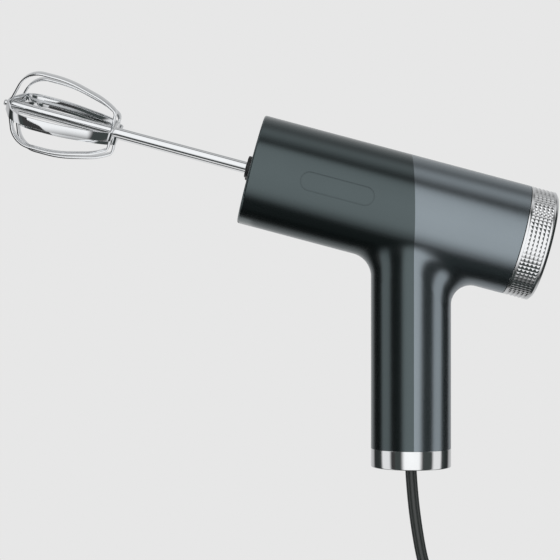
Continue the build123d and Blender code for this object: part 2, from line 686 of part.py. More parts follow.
def motor_end_cap():
    spigot_front = MOTOR_REAR + END_CAP_SPIGOT
    cap = rod(MOTOR_RADIUS, END_CAP_REAR, MOTOR_REAR) + rod(MOTOR_BORE - FIT_GAP, MOTOR_REAR, spigot_front)
    cap -= rod(BEARING_RADIUS + PRESS_GAP, spigot_front - BEARING_LENGTH, spigot_front)
    middle = (COMMUTATOR_REAR + COMMUTATOR_FRONT) / 2
    half = BRUSH_WIDTH / 2 + BRUSH_HOLDER_WALL
    top = middle + BRUSH_LENGTH / 2 + BRUSH_HOLDER_WALL
    inner = COMMUTATOR_RADIUS + BRUSH_HOLDER_WALL
    outer = BRUSH_REACH + BRUSH_HOLDER_WALL
    for side in (-1, 1):
        cap += block(sorted((side * inner, side * outer)), (-half, half), (spigot_front, top))
        cap -= brush_channel(side, RUNNING_GAP)
    return BARREL * cap


def carbon_brushes():
    return BARREL * (Part() + [brush_channel(side, 0.0) for side in (-1, 1)])


def motor_magnets():
    ring = tube(MOTOR_BORE - FIT_GAP, CORE_RADIUS + AIR_GAP, CORE_REAR, CORE_FRONT)
    half = MAGNET_ANGLE / 2
    far = 2 * MOTOR_RADIUS
    wedge = make_face(Polyline((0, 0), polar(far, -half), polar(far, 0), polar(far, half), close=True))
    sector = Pos(0, 0, CORE_REAR) * extrude(wedge, CORE_LENGTH)
    return BARREL * (Part() + [ring & sector, ring & (Rot(0, 0, 180) * sector)])


def core_slot_places():
    """The centres of the armature's round slots, which open through its rim."""
    radius = CORE_RADIUS - CORE_SLOT_DEPTH + CORE_SLOT_RADIUS
    return [polar(radius, 360 * slot / CORE_SLOTS) for slot in range(CORE_SLOTS)]


def armature_core():
    core = rod(CORE_RADIUS, CORE_REAR, CORE_FRONT)
    for place in core_slot_places():
        core -= rod(CORE_SLOT_RADIUS, CORE_REAR, CORE_FRONT, *place)
    return BARREL * (core - rod(MOTOR_SHAFT_RADIUS + PRESS_GAP, CORE_REAR, CORE_FRONT))


def armature_winding():
    """The winding: a bundle in each slot, joined by the end turns."""
    inner = CORE_RADIUS - CORE_SLOT_DEPTH
    winding = tube(CORE_RADIUS, inner, CORE_FRONT, CORE_FRONT + WINDING_LENGTH)
    winding += tube(CORE_RADIUS, inner, CORE_REAR - WINDING_LENGTH, CORE_REAR)
    for place in core_slot_places():
        winding += rod(WIRE_BUNDLE_RADIUS, CORE_REAR, CORE_FRONT, *place)
    return BARREL * winding


def commutator():
    return BARREL * tube(COMMUTATOR_RADIUS, MOTOR_SHAFT_RADIUS + PRESS_GAP, COMMUTATOR_REAR, COMMUTATOR_FRONT)


def motor_shaft():
    return BARREL * rod(MOTOR_SHAFT_RADIUS, END_CAP_REAR + MOTOR_WALL, SHAFT_FRONT)


def motor_pinion():
    pinion = gear(FIRST_MODULE, MOTOR_PINION_TEETH, MOTOR_PHASE, WHEEL_REAR, WHEEL_FRONT, (0, 0))
    return BARREL * (pinion - rod(MOTOR_SHAFT_RADIUS + PRESS_GAP, WHEEL_REAR, WHEEL_FRONT))


def motor_bracket():
    rear = END_CAP_REAR - BRACKET_LIP
    front = rear + BRACKET_LENGTH
    ring = tube(BARREL_BORE - FIT_GAP, MOTOR_RADIUS + FIT_GAP, rear, front)
    ring += tube(MOTOR_RADIUS + FIT_GAP, BRACKET_LIP_RADIUS, rear, END_CAP_REAR)
    for place in SCREW_PLACES:
        ring -= rod(SCREW_BOSS_RADIUS + FIT_GAP, rear, front, *place)
    half = WIRE_NOTCH_WIDTH / 2
    return BARREL * (ring - block((-half, half), (-BARREL_RADIUS, -MOTOR_RADIUS), (rear, front)))


# Speed control and dial


def speed_control():
    body = rod(CONTROL_RADIUS, BULKHEAD_FRONT, CONTROL_FRONT)
    body += rod(CONTROL_BUSHING_RADIUS, BUSHING_REAR, BULKHEAD_FRONT)
    bore = rod(CONTROL_SHAFT_RADIUS + RUNNING_GAP, BUSHING_REAR, CONTROL_FRONT - CONTROL_END_WALL)
    return BARREL * (body - bore)


def flat_rod(radius, flat, start, end):
    """A round bar with one flat."""
    return rod(radius, start, end) - block((flat, 2 * radius), (-radius, radius), (start, end))


def control_shaft():
    hub_end = HUB_FRONT - HUB_DISC_THICKNESS / 2
    shaft = rod(CONTROL_SHAFT_RADIUS, BUSHING_REAR, CONTROL_FRONT - CONTROL_END_WALL - RUNNING_GAP)
    return BARREL * (shaft + flat_rod(CONTROL_SHAFT_RADIUS, CONTROL_SHAFT_FLAT, hub_end, BUSHING_REAR))


def control_board():
    half = BOARD_WIDTH / 2
    return BARREL * block((-half, half), (-half, half), (CONTROL_FRONT, BOARD_FRONT))


def board_components():
    capacitor = rod(CAPACITOR_RADIUS, BOARD_FRONT, BOARD_FRONT + CAPACITOR_LENGTH, *CAPACITOR_PLACE)
    choke = rod(CHOKE_RADIUS, BOARD_FRONT, BOARD_FRONT + CHOKE_LENGTH, *CHOKE_PLACE)
    sink = Box(HEAT_SINK_WIDTH, HEAT_SINK_DEPTH, HEAT_SINK_LENGTH, align=FROM_BOTTOM)
    return BARREL * (Part() + [capacitor, choke, Pos(*HEAT_SINK_PLACE, BOARD_FRONT) * sink])


def motor_leads():
    leads = [rod(MOTOR_LEAD_RADIUS, BOARD_FRONT, END_CAP_REAR, side * LEAD_OFFSET) for side in (-1, 1)]
    return BARREL * (Part() + leads)


def knurl_rows():
    """The dial's outer corners along the knurl: a ridge for each row."""
    start = DIAL_FRONT - DIAL_FRONT_RIM
    valley = BARREL_RADIUS - KNURL_DEPTH
    corners = [(valley, start)]
    for row in range(KNURL_ROWS):
        corners.append((BARREL_RADIUS, start - (row + 0.5) * KNURL_PITCH))
        corners.append((valley, start - (row + 1) * KNURL_PITCH))
    return corners


def dial_ring():
    """A cup with a knurled band: ridges turned round it, cut across by notches along it."""
    rows = knurl_rows()
    rim_start = rows[-1][1]
    corner = BARREL_RADIUS - DIAL_EDGE_RADIUS
    outline = Polyline(
        (0, HUB_REAR),
        (DIAL_BORE, HUB_REAR),
        (DIAL_BORE, DIAL_FRONT),
        (BARREL_RADIUS, DIAL_FRONT),
        (BARREL_RADIUS, rows[0][1]),
        *rows,
        (BARREL_RADIUS, rim_start),
        (BARREL_RADIUS, DIAL_REAR + DIAL_EDGE_RADIUS),
    )
    edge = RadiusArc((BARREL_RADIUS, DIAL_REAR + DIAL_EDGE_RADIUS), (corner, DIAL_REAR), DIAL_EDGE_RADIUS)
    closing = Polyline((corner, DIAL_REAR), (0, DIAL_REAR), (0, HUB_REAR))
    profile = make_face(Plane.XZ * (outline + edge + closing))
    ring = revolve(profile, Axis.Z)
    return BARREL * (ring - knurl_notches(rows[0][1], rim_start))


def knurl_notches(front, rear):
    """V notches along the knurl, one between each two teeth."""
    half = math.pi / KNURL_COUNT
    top = BARREL_RADIUS + KNURL_DEPTH
    spread = 2 * half * BARREL_RADIUS
    notch = make_face(Polyline((BARREL_RADIUS - KNURL_DEPTH, 0), (top, -spread), (top, spread), close=True))
    bar = Pos(0, 0, rear) * extrude(notch, front - rear)
    return Part() + [Rot(0, 0, 360 * tooth / KNURL_COUNT) * bar for tooth in range(KNURL_COUNT)]


def dial_hub():
    skirt_inner = DIAL_SPIGOT_RADIUS + RUNNING_GAP
    hub_end = BULKHEAD_REAR - HUB_END_GAP
    hub = rod(DIAL_BORE - FIT_GAP, HUB_REAR, HUB_FRONT)
    hub += tube(skirt_inner + HUB_SKIRT_WALL, skirt_inner, HUB_FRONT, hub_end)
    hub += rod(HUB_POST_RADIUS, HUB_FRONT, BUSHING_REAR - HUB_END_GAP)
    bore_end = HUB_FRONT - HUB_DISC_THICKNESS / 2
    bore = flat_rod(CONTROL_SHAFT_RADIUS + PRESS_GAP, CONTROL_SHAFT_FLAT + PRESS_GAP, bore_end, BUSHING_REAR)
    return BARREL * (hub - bore)


# Beaters


def strip_loop(inset):
    """A flat strip bent into a closed loop, with its root and tip drawn in by an inset.

    The shaft goes through a hole at the root and its stud through one at the tip.
    """
    base = NOSE_REACH + LOOP_ROOT
    root = base + inset
    tip = NOSE_REACH + LOOP_TIP - inset
    half = [
        (LOOP_ROOT_CORNER, root),
        (LOOP_SHOULDER[0], base + LOOP_SHOULDER[1]),
        (LOOP_BELLY_START[0], base + LOOP_BELLY_START[1]),
        (LOOP_BELLY_END[0], base + LOOP_BELLY_END[1]),
        (LOOP_TIP_FLAT, tip),
    ]
    mirrored = [(-x, z) for x, z in reversed(half)]
    radii = LOOP_CORNER_RADII + LOOP_CORNER_RADII[::-1]
    face = make_face(FilletPolyline(*half, *mirrored, radius=radii, close=True))
    strip = face - offset(face, -STRIP_THICKNESS, kind=Kind.INTERSECTION)
    loop = extrude(Plane.XZ * strip, STRIP_WIDTH / 2, both=True)
    middle = (root + tip) / 2
    loop -= rod(BEATER_SHAFT_RADIUS + PRESS_GAP, root, middle)
    return loop - rod(TIP_STUD_RADIUS + RUNNING_GAP, middle, tip)


def beater_loop(x, turn, inset):
    return BARREL * (Pos(x, 0, 0) * Rot(0, 0, BEATER_TURN + turn) * strip_loop(inset))


def beater_shaft(x):
    """The shaft, with drive lugs and a detent groove at its upper end and a riveted stud at its tip."""
    inner_end = NOSE_REACH - BEATER_INSERT
    shoulder = NOSE_REACH + LOOP_TIP - 2 * (STRIP_THICKNESS + LOOP_STACK_GAP)
    stud_end = NOSE_REACH + LOOP_TIP + TIP_STUD_LENGTH
    shaft = rod(BEATER_SHAFT_RADIUS, inner_end, shoulder) + rod(TIP_STUD_RADIUS, shoulder, stud_end)
    lug_front = SPINDLE_MOUTH - LUG_SETBACK
    half = LUG_WIDTH / 2
    shaft += block((-LUG_REACH, LUG_REACH), (-half, half), (lug_front - LUG_LENGTH, lug_front))
    groove_end = inner_end + 2 * DETENT_GROOVE_WIDTH
    groove_inner = BEATER_SHAFT_RADIUS - DETENT_GROOVE_DEPTH
    shaft -= tube(2 * BEATER_SHAFT_RADIUS, groove_inner, groove_end - DETENT_GROOVE_WIDTH, groove_end)
    top = shaft.edges().sort_by(Axis.Z)[-1]
    shaft = fillet(top, TIP_STUD_RADIUS / 2)
    return BARREL * (Pos(x, 0, 0) * shaft)


# Cord


def cord_points():
    """The corners of the free stretch from the foot down to the coil."""
    corners = [Vector(x, 0, FOOT_BOTTOM - drop) for x, drop in CORD_CORNERS]
    return [Vector(0, 0, CORD_EXIT), *corners, Vector(*COIL_START)]


def rounded(points):
    """Straight runs through points, joined by arcs as large as the shorter run and the turn allow."""
    radii = []
    for before, corner, after in zip(points, points[1:], points[2:]):
        turn = math.radians((corner - before).get_angle(after - corner))
        run = min((corner - before).length, (after - corner).length)
        radii.append(CORD_ARC_SHARE * run / math.tan(turn / 2))
    print("radii", [round(radius, 1) for radius in radii])
    return FilletPolyline(*points, radius=radii)


def cord_tube(path, name):
    """A cord's tube along a path, with its volume compared with section times length."""
    solid = sweep(Plane(path @ 0, z_dir=path % 0) * Circle(CORD_RADIUS), path)
    expected = math.pi * CORD_RADIUS**2 * path.length
    print(name, "length", round(path.length, 1), "volume ratio", round(solid.volume / expected, 4))
    return solid


def coil_arcs():
    """The coil's half turns: start, middle and end of each, spiralling in, up a layer and out again."""
    arcs = []
    y = COIL_START[1]
    z = COIL_START[2]
    for turn in range(COIL_HALF_TURNS):
        radius = COIL_OUTER_RADIUS - (COIL_MIDDLE - abs(turn - COIL_MIDDLE)) * COIL_PITCH / 2
        outward = 1 if turn % 2 == 0 else -1
        rise = COIL_PITCH if turn == COIL_MIDDLE else 0.0
        start = (COIL_ARC_X, y, z)
        end = (COIL_ARC_X, y + outward * 2 * radius, z + rise)
        reach = math.hypot(radius, rise / 2)
        halfway = (COIL_ARC_X + outward * reach, (start[1] + end[1]) / 2, z + rise / 2)
        arcs.append((start, halfway, end))
        y = end[1]
        z = end[2]
    return arcs


def coil_path():
    """One unbroken line: a straight end, the half turns and a straight end."""
    arcs = coil_arcs()
    edges = [ThreePointArc(*arc) for arc in arcs]
    return Wire([Line(COIL_START, arcs[0][0]), *edges, Line(arcs[-1][2], coil_end())])


def coil_self_gap(path):
    """The least gap between the coil's turns, measured on points of its centre line."""
    count = math.ceil(path.length / CORD_RADIUS)
    points = [path @ (step / count) for step in range(count + 1)]
    apart = 4
    least = min(
        (points[one] - points[two]).length
        for one in range(count + 1)
        for two in range(one + apart, count + 1)
    )
    return least - 2 * CORD_RADIUS


def coil_end():
    x, y, z = coil_arcs()[-1][2]
    return x - 2 * CORD_RADIUS, y, z


def tail_points():
    """The corners of the stretch from the coil down to the plug's neck."""
    x, y, z = coil_end()
    plug_height = FLOOR + PLUG_THICKNESS / 2
    first, second, third = TAIL_RUNS
    points = [Vector(x, y, z), Vector(x - first, y, z)]
    points.append(Vector(x - first - second, y + TAIL_SHIFT, plug_height))
    points.append(Vector(x - first - second - third, y + TAIL_SHIFT, plug_height))
    return points


def cord_tie():
    """A strap round the coil's bundle of turns, on the side away from where the cord comes in.

    Where the spiral turns round on the near side, the upper layer lies one pitch over from the lower.
    """
    shift = COIL_MIDDLE % 2 * COIL_PITCH
    smallest = COIL_OUTER_RADIUS - COIL_MIDDLE // 2 * COIL_PITCH - CORD_RADIUS
    bow = (shift + TIE_WIDTH) ** 2 / (8 * smallest)
    outer = COIL_OUTER_RADIUS + CORD_RADIUS
    inner = smallest - bow
    low = COIL_START[2] - CORD_RADIUS
    high = low + COIL_PITCH + 2 * CORD_RADIUS
    width = outer - inner + 2 * TIE_GAP
    height = high - low + 2 * TIE_GAP
    strap = RectangleRounded(width + 2 * TIE_THICKNESS, height + 2 * TIE_THICKNESS, CORD_RADIUS)
    strap -= RectangleRounded(width, height, CORD_RADIUS - TIE_THICKNESS)
    across = COIL_START[1] + COIL_OUTER_RADIUS + shift / 2
    place = Pos(COIL_ARC_X + (outer + inner) / 2, across, (low + high) / 2)
    return place * extrude(Plane.XZ * strap, TIE_WIDTH / 2, both=True)


def plug_place():
    """The plug's own frame, with Z out of its pin face, at the end of its neck."""
    return Location(Plane(origin=tail_points()[-1], x_dir=(0, 1, 0), z_dir=(-1, 0, 0)))


def plug_body():
    outline = Pos(0, 0, PLUG_TAPER) * RectangleRounded(PLUG_WIDTH, PLUG_THICKNESS, PLUG_CORNER)
    neck = RectangleRounded(2 * PLUG_NECK_RADIUS, 2 * PLUG_NECK_RADIUS, PLUG_NECK_CORNER)
    body = loft([neck, outline]) + extrude(outline, PLUG_STRAIGHT)
    face = PLUG_TAPER + PLUG_STRAIGHT
    for x in PLUG_PIN_PLACES:
        body -= rod(PLUG_PIN_ROOT_RADIUS + PRESS_GAP, face - PLUG_PIN_SEAT, face, x)
    return plug_place() * body


def plug_pins():
    """Two pins, each with a slimmer sleeved half next to the plug and a root moulded into it."""
    face = PLUG_TAPER + PLUG_STRAIGHT
    bare = face + PLUG_SLEEVE_LENGTH
    pins = []
    for x in PLUG_PIN_PLACES:
        pin = rod(PLUG_PIN_ROOT_RADIUS, face - PLUG_PIN_SEAT, face, x)
        pin += rod(PLUG_SLEEVE_RADIUS, face, bare, x) + rod(PLUG_PIN_RADIUS, bare, face + PLUG_PIN_LENGTH, x)
        tip = pin.edges().sort_by(Axis.Z)[-1]
        pins.append(fillet(tip, PLUG_PIN_RADIUS / 2))
    return plug_place() * (Part() + pins)


def all_parts():
    parts = {
        "front_housing": front_housing(),
        "rear_housing": rear_housing(),
        "housing_screws": housing_screws(),
        "foot_ring": foot_ring(),
        "foot_plate": foot_plate(),
        "cord_grommet": cord_grommet(),
        "supply_lead": supply_lead(),
        "cord_clamp": cord_clamp(),
        "cord_clamp_screws": cord_clamp_screws(),
        "terminal_block": terminal_block(),
        "mains_leads": mains_leads(),
        "gearbox_front_plate": gearbox_front_plate(),
        "gearbox_rear_plate": gearbox_rear_plate(),
        "gearbox_pillars": gearbox_pillars(),
        "spindle_front_bushes": bushes(SPINDLE_RADIUS, FRONT_PLATE_REAR, FRONT_PLATE_FRONT),
        "spindle_rear_bushes": bushes(SPINDLE_JOURNAL_RADIUS, REAR_PLATE_REAR, REAR_PLATE_FRONT),
        "compound_gear": compound_gear(),
        "compound_axle": compound_axle(),
        "motor_can": motor_can(),
        "motor_end_cap": motor_end_cap(),
        "motor_magnets": motor_magnets(),
        "motor_front_bearing": motor_bearing(MOTOR_FRONT + MOTOR_BOSS_HEIGHT - BEARING_LENGTH),
        "motor_rear_bearing": motor_bearing(MOTOR_REAR + END_CAP_SPIGOT - BEARING_LENGTH),
        "motor_shaft": motor_shaft(),
        "armature_core": armature_core(),
        "armature_winding": armature_winding(),
        "commutator": commutator(),
        "motor_pinion": motor_pinion(),
        "carbon_brushes": carbon_brushes(),
        "motor_bracket": motor_bracket(),
        "speed_control": speed_control(),
        "control_shaft": control_shaft(),
        "control_board": control_board(),
        "board_components": board_components(),
        "motor_leads": motor_leads(),
        "dial_ring": dial_ring(),
        "dial_hub": dial_hub(),
        "cord": cord_tube(rounded(cord_points()), "cord"),
        "cord_coil": cord_tube(coil_path(), "cord_coil"),
        "cord_tail": cord_tube(rounded(tail_points()), "cord_tail"),
        "cord_tie": cord_tie(),
        "plug_body": plug_body(),
        "plug_pins": plug_pins(),
    }
    inset = STRIP_THICKNESS + LOOP_STACK_GAP
    for side, x in SIDES.items():
        parts[f"{side}_socket_collar"] = socket_collar(x)
        parts[f"{side}_spindle"] = spindle(x)
        parts[f"{side}_spindle_gear"] = spindle_gear(side)
        parts[f"{side}_beater_shaft"] = beater_shaft(x)
        parts[f"{side}_beater_outer_loop"] = beater_loop(x, 0, 0.0)
        parts[f"{side}_beater_inner_loop"] = beater_loop(x, 90, inset)
    return parts


def main():
    os.makedirs("parts", exist_ok=True)
    print("least gap in the coil", round(coil_self_gap(coil_path()), 3))
    for name, shape in all_parts().items():
        export_step(shape, f"parts/{name}.step")


main()
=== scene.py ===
# %% [markdown]
# # A hand mixer, dressed in Blender
# The mixer is a tilted motor barrel on an upright grip. Two beaters stand out of its nose, a knurled dial
# closes its rear end, a chrome ring its foot, and a mains cord leaves the foot.
# The exact solids are loaded first as a fixed frame. Every piece made here sits on them, in metres.

# %% Load the frame
import json
import math

import bmesh
import bpy
from mathutils import Matrix, Vector


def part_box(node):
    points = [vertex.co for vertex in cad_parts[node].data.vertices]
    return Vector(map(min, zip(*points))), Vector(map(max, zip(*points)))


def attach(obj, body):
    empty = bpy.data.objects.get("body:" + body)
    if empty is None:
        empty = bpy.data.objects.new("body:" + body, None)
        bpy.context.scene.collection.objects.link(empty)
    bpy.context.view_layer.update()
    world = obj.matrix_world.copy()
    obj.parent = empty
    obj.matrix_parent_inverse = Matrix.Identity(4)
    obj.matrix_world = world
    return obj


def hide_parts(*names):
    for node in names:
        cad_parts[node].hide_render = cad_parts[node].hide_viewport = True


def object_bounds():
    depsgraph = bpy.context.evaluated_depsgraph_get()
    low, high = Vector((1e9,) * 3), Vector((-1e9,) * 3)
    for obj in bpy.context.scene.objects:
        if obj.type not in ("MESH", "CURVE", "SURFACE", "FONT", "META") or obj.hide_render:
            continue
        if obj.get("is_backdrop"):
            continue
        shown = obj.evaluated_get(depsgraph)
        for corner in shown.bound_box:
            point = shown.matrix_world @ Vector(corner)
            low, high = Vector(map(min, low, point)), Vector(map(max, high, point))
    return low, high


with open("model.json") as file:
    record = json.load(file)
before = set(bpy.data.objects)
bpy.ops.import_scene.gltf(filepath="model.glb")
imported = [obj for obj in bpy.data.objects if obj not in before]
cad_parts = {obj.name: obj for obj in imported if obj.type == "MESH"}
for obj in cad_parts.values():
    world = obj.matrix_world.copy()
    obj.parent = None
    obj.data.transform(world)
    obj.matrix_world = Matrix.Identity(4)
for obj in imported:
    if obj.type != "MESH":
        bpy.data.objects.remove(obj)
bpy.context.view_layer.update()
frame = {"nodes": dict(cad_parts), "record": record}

nodes = frame["nodes"]

# %% [markdown]
# ## Two frames of reference
# The grip stands along Z. The barrel leans nose up, so its pieces are easier to draw in a frame of their
# own: X to the near side, Y up and square to the barrel, Z along the barrel to the nose.
# One matrix carries that frame into the part's, and turns millimetres into metres on the way. The two beater
# sockets have frames of their own, which are the barrel's moved to each side.

# %% Frames and shared sizes
MM = 0.001
BARREL_TILT = math.radians(14.9)
CROSSING_HEIGHT = 90.0
BARREL_RADIUS = 30.5
NOSE_REACH = 91.0
REAR_REACH = 59.6
SOCKET_OFFSET = 12.8
FOOT_BOTTOM = -50.2

CROSSING = Vector((0, 0, CROSSING_HEIGHT)) * MM
FORWARD = Vector((-math.cos(BARREL_TILT), 0, math.sin(BARREL_TILT)))
UPWARD = Vector((math.sin(BARREL_TILT), 0, math.cos(BARREL_TILT)))
NEARWARD = Vector((0, -1, 0))
GRIP_FRAME = Matrix.Scale(MM, 4)
BARREL_FRAME = Matrix((NEARWARD, UPWARD, FORWARD)).transposed().to_4x4()
BARREL_FRAME.translation = Vector((0, 0, CROSSING_HEIGHT))
BARREL_FRAME = GRIP_FRAME @ BARREL_FRAME
SOCKETS = {
    "near": BARREL_FRAME @ Matrix.Translation((SOCKET_OFFSET, 0, 0)),
    "far": BARREL_FRAME @ Matrix.Translation((-SOCKET_OFFSET, 0, 0)),
}
print("nose at", [round(place, 4) for place in BARREL_FRAME @ Vector((0, 0, NOSE_REACH))])

# %% [markdown]
# ## The camera
# The photograph is a straight side view taken with a long lens, so the camera looks level along +Y.
# The lens and the distance come from how much wider the near side of the barrel is than the far side.

# %% Camera
CAMERA_PLACE = (-0.0720, -0.9625, 0.0524)
CAMERA_LENS = 112.5
SENSOR_WIDTH = 36.0

camera_data = bpy.data.cameras.new("camera")
camera_data.lens = CAMERA_LENS
camera_data.sensor_width = SENSOR_WIDTH
camera = bpy.data.objects.new("camera", camera_data)
camera.location = CAMERA_PLACE
camera.rotation_euler = (math.radians(90), 0, 0)
bpy.context.scene.collection.objects.link(camera)
bpy.context.scene.camera = camera
print("camera", CAMERA_PLACE, "lens", CAMERA_LENS)

# %% [markdown]
# ## Writing node trees as expressions
# A node tree reads best as a formula. `Socket` wraps one output of a node and overloads the operators,
# so `1 - mask * 0.5` adds two Math nodes. `Graph.node` makes any other node: its settings are set first,
# and then its inputs, each a plain value or a link. The same two classes serve materials, the world and
# Geometry Nodes.

# %% Sockets


class Socket:
    """One output of a node, with the operators that are used on it."""

    def __init__(self, graph, output):
        self.graph = graph
        self.output = output

    def maths(self, operation, first, second=0.0):
        return self.graph.node("ShaderNodeMath", {"operation": operation}, {0: first, 1: second})

    def __add__(self, other):
        return self.maths("ADD", self, other)

    def __radd__(self, other):
        return self.maths("ADD", other, self)

    def __sub__(self, other):
        return self.maths("SUBTRACT", self, other)

    def __rsub__(self, other):
        return self.maths("SUBTRACT", other, self)

    def __mul__(self, other):
        return self.maths("MULTIPLY", self, other)

    def __rmul__(self, other):
        return self.maths("MULTIPLY", other, self)

    def __truediv__(self, other):
        return self.maths("DIVIDE", self, other)

    def __rtruediv__(self, other):
        return self.maths("DIVIDE", other, self)

    def larger(self, other):
        return self.maths("MAXIMUM", self, other)

    def size(self):
        return self.maths("ABSOLUTE", self)

    def root(self):
        return self.maths("SQRT", self)

    def step(self, start, end):
        """0 below start, 1 above end and smooth between; start may be the larger."""
        settings = {"interpolation_type": "SMOOTHSTEP"}
        low, high = min(start, end), max(start, end)
        first, last = (0.0, 1.0) if start < end else (1.0, 0.0)
        inputs = {"Value": self, "From Min": low, "From Max": high, "To Min": first, "To Max": last}
        return self.graph.node("ShaderNodeMapRange", settings, inputs)

    def band(self, low, high, edge):
        """1 between two values and 0 outside, with soft edges."""
        return self.step(low - edge, low + edge) * self.step(high + edge, high - edge)


# %% Node trees


class Graph:
    """A node tree under construction."""

    def __init__(self, tree):
        self.tree = tree

    def node(self, kind, settings=None, inputs=None, output=0):
        """Any node: its settings are set first, and then its inputs, each a value or a link."""
        made = self.tree.nodes.new(kind)
        for name, value in (settings or {}).items():
            setattr(made, name, value)
        for key, value in (inputs or {}).items():
            if isinstance(value, Socket):
                self.tree.links.new(value.output, made.inputs[key])
            else:
                made.inputs[key].default_value = value
        return Socket(self, made.outputs[output]) if made.outputs else made

    def place(self, scale=(1, 1, 1), turn=(0, 0, 0)):
        """The point on the piece in metres, stretched and turned for a pattern."""
        point = self.node("ShaderNodeTexCoord", output="Object")
        return self.node("ShaderNodeMapping", {}, {"Vector": point, "Scale": scale, "Rotation": turn})

    def along(self, axis, origin=(0, 0, 0)):
        """How far the point on the piece lies along an axis, in millimetres from an origin in metres."""
        point = self.node("ShaderNodeTexCoord", output="Object")
        return self.number("DOT_PRODUCT", self.vector("SUBTRACT", point, origin), axis) / MM

    def noise(self, scale, detail=2.0, place=None):
        """Cloudy values from 0 to 1; the scale is in waves for each metre."""
        inputs = {"Vector": place or self.place(), "Scale": scale, "Detail": detail}
        return self.node("ShaderNodeTexNoise", {}, inputs)

    def mix(self, factor, first, second):
        """A colour between two colours."""
        # A Mix node's colours are its inputs 6 and 7, and the mixed colour is its output 2.
        inputs = {"Factor": factor, 6: first, 7: second}
        return self.node("ShaderNodeMix", {"data_type": "RGBA"}, inputs, 2)

    def vector(self, operation, first, second=(0, 0, 0)):
        """Vector maths with a vector as its result."""
        return self.node("ShaderNodeVectorMath", {"operation": operation}, {0: first, 1: second})

    def scaled(self, vector, factor):
        """A vector made longer or shorter by a factor."""
        return self.node("ShaderNodeVectorMath", {"operation": "SCALE"}, {0: vector, "Scale": factor})

    def number(self, operation, first, second=(0, 0, 0)):
        """Vector maths with a number as its result."""
        return self.node("ShaderNodeVectorMath", {"operation": operation}, {0: first, 1: second}, "Value")

    def bump(self, height, distance, normal=None):
        """A surface direction that is tipped by a height in metres."""
        inputs = {"Height": height, "Distance": distance, "Strength": 1.0}
        if normal:
            inputs["Normal"] = normal
        return self.node("ShaderNodeBump", {}, inputs)


# %% Materials


def label(key):
    """The shader's own label of a socket, such as Coat Weight for coat_weight."""
    return key.replace("_", " ").title().replace("Ior", "IOR")


def shade(name, look, **constants):
    """A material whose Principled shader takes constants by name and links from a function."""
    material = bpy.data.materials.new(name)
    material.use_nodes = True
    graph = Graph(material.node_tree)
    shader = material.node_tree.nodes["Principled BSDF"]
    for key, value in constants.items():
        shader.inputs[label(key)].default_value = value
    for key, value in look(graph).items():
        graph.tree.links.new(value.output, shader.inputs[label(key)])
    return material


def opaque(colour):
    """A colour with full alpha."""
    return (*colour, 1.0)


# %% [markdown]
# ## The engraved outline
# The near side of the front shell bears a thin oblong outline, a groove that light hardly reaches. The
# solids hold the groove, but it is so shallow that it needs its shade as well. How far a point lies from the
# outline is a formula of two lengths, along the barrel and up, so the lacquer can be darkened along it.

# %% Engraved outline
OUTLINE_REACH = 42.9
OUTLINE_LENGTH = 41.0
OUTLINE_HEIGHT = 10.4
OUTLINE_LINE = 0.7
OUTLINE_FADE = (0.75 * OUTLINE_LINE, 0.25 * OUTLINE_LINE)
NEAR_SIDE_FADE = (10, 14)


def outline_groove(graph):
    """1 in the engraved outline and 0 outside: a band of distance from a rounded oblong."""
    along = graph.along(FORWARD, CROSSING) - OUTLINE_REACH
    up = graph.along(UPWARD, CROSSING)
    past_straight = (along.size() - (OUTLINE_LENGTH - OUTLINE_HEIGHT) / 2).larger(0.0)
    distance = (past_straight * past_straight + up * up).root() - (OUTLINE_HEIGHT - OUTLINE_LINE) / 2
    on_near_side = graph.along(NEARWARD).step(*NEAR_SIDE_FADE)
    return distance.size().step(*OUTLINE_FADE) * on_near_side


# %% [markdown]
# ## The neck
# The grip runs into the barrel with a round blend. On the real shells the light turns more gently there than
# on the solids. A larger round would shift the surface, so only the direction that the light sees is eased:
# it turns from the barrel's direction to the grip's over a wider stretch than the blend.

# %% Eased neck
GRIP_RADIUS = 22.0
FRONT_BLEND = 13.0
REAR_BLEND = 10.6
NECK_EASE = 1.8
NECK_TOP_FADE = (-4, -10)
NECK_RIM_FADE = (1, 0.98)
NECK_LIKENESS = (0.5, 0.8)
LEAST_TURN = 0.01


def off_axis(graph, axis, origin, radius):
    """The direction away from an axis, and the distance from the round form about it in millimetres."""
    offset = graph.vector("SUBTRACT", graph.node("ShaderNodeTexCoord", output="Object"), origin)
    across = graph.vector("SUBTRACT", offset, graph.vector("PROJECT", offset, axis))
    return graph.vector("NORMALIZE", across), graph.number("LENGTH", across) / MM - radius


def eased_neck(graph, blend):
    """The surface's direction, which turns gently from barrel to grip about a blend of a given radius."""
    barrel, from_barrel = off_axis(graph, FORWARD, CROSSING, BARREL_RADIUS)
    grip, from_grip = off_axis(graph, (0, 0, 1), (0, 0, 0), GRIP_RADIUS)
    opening = 1 - graph.number("DOT_PRODUCT", barrel, grip)
    turn = (from_barrel - from_grip) / (opening * (blend * NECK_EASE) + LEAST_TURN)
    share = turn.step(-1, 1)
    between = graph.vector("ADD", graph.scaled(barrel, 1 - share), graph.scaled(grip, share))
    eased = graph.vector("NORMALIZE", between)
    real = graph.node("ShaderNodeNewGeometry", output="Normal")
    below = graph.along(UPWARD, CROSSING).step(*NECK_TOP_FADE)
    alike = graph.number("DOT_PRODUCT", real, eased).step(*NECK_LIKENESS)
    on_neck = below * turn.size().step(*NECK_RIM_FADE) * alike
    return graph.vector("ADD", graph.scaled(real, 1 - on_neck), graph.scaled(eased, on_neck))


# %% [markdown]
# ## Lacquer
# The two shells have a metallic lacquer under a clear coat. The metal gives tinted reflections, and the coat
# adds untinted ones, which grow toward the outline of each round form. That is why the pale rear shell and
# the dark front shell look alike at their edges. Fine flakes vary the colour, and a weak orange-peel bump
# breaks the reflections as sprayed lacquer does.

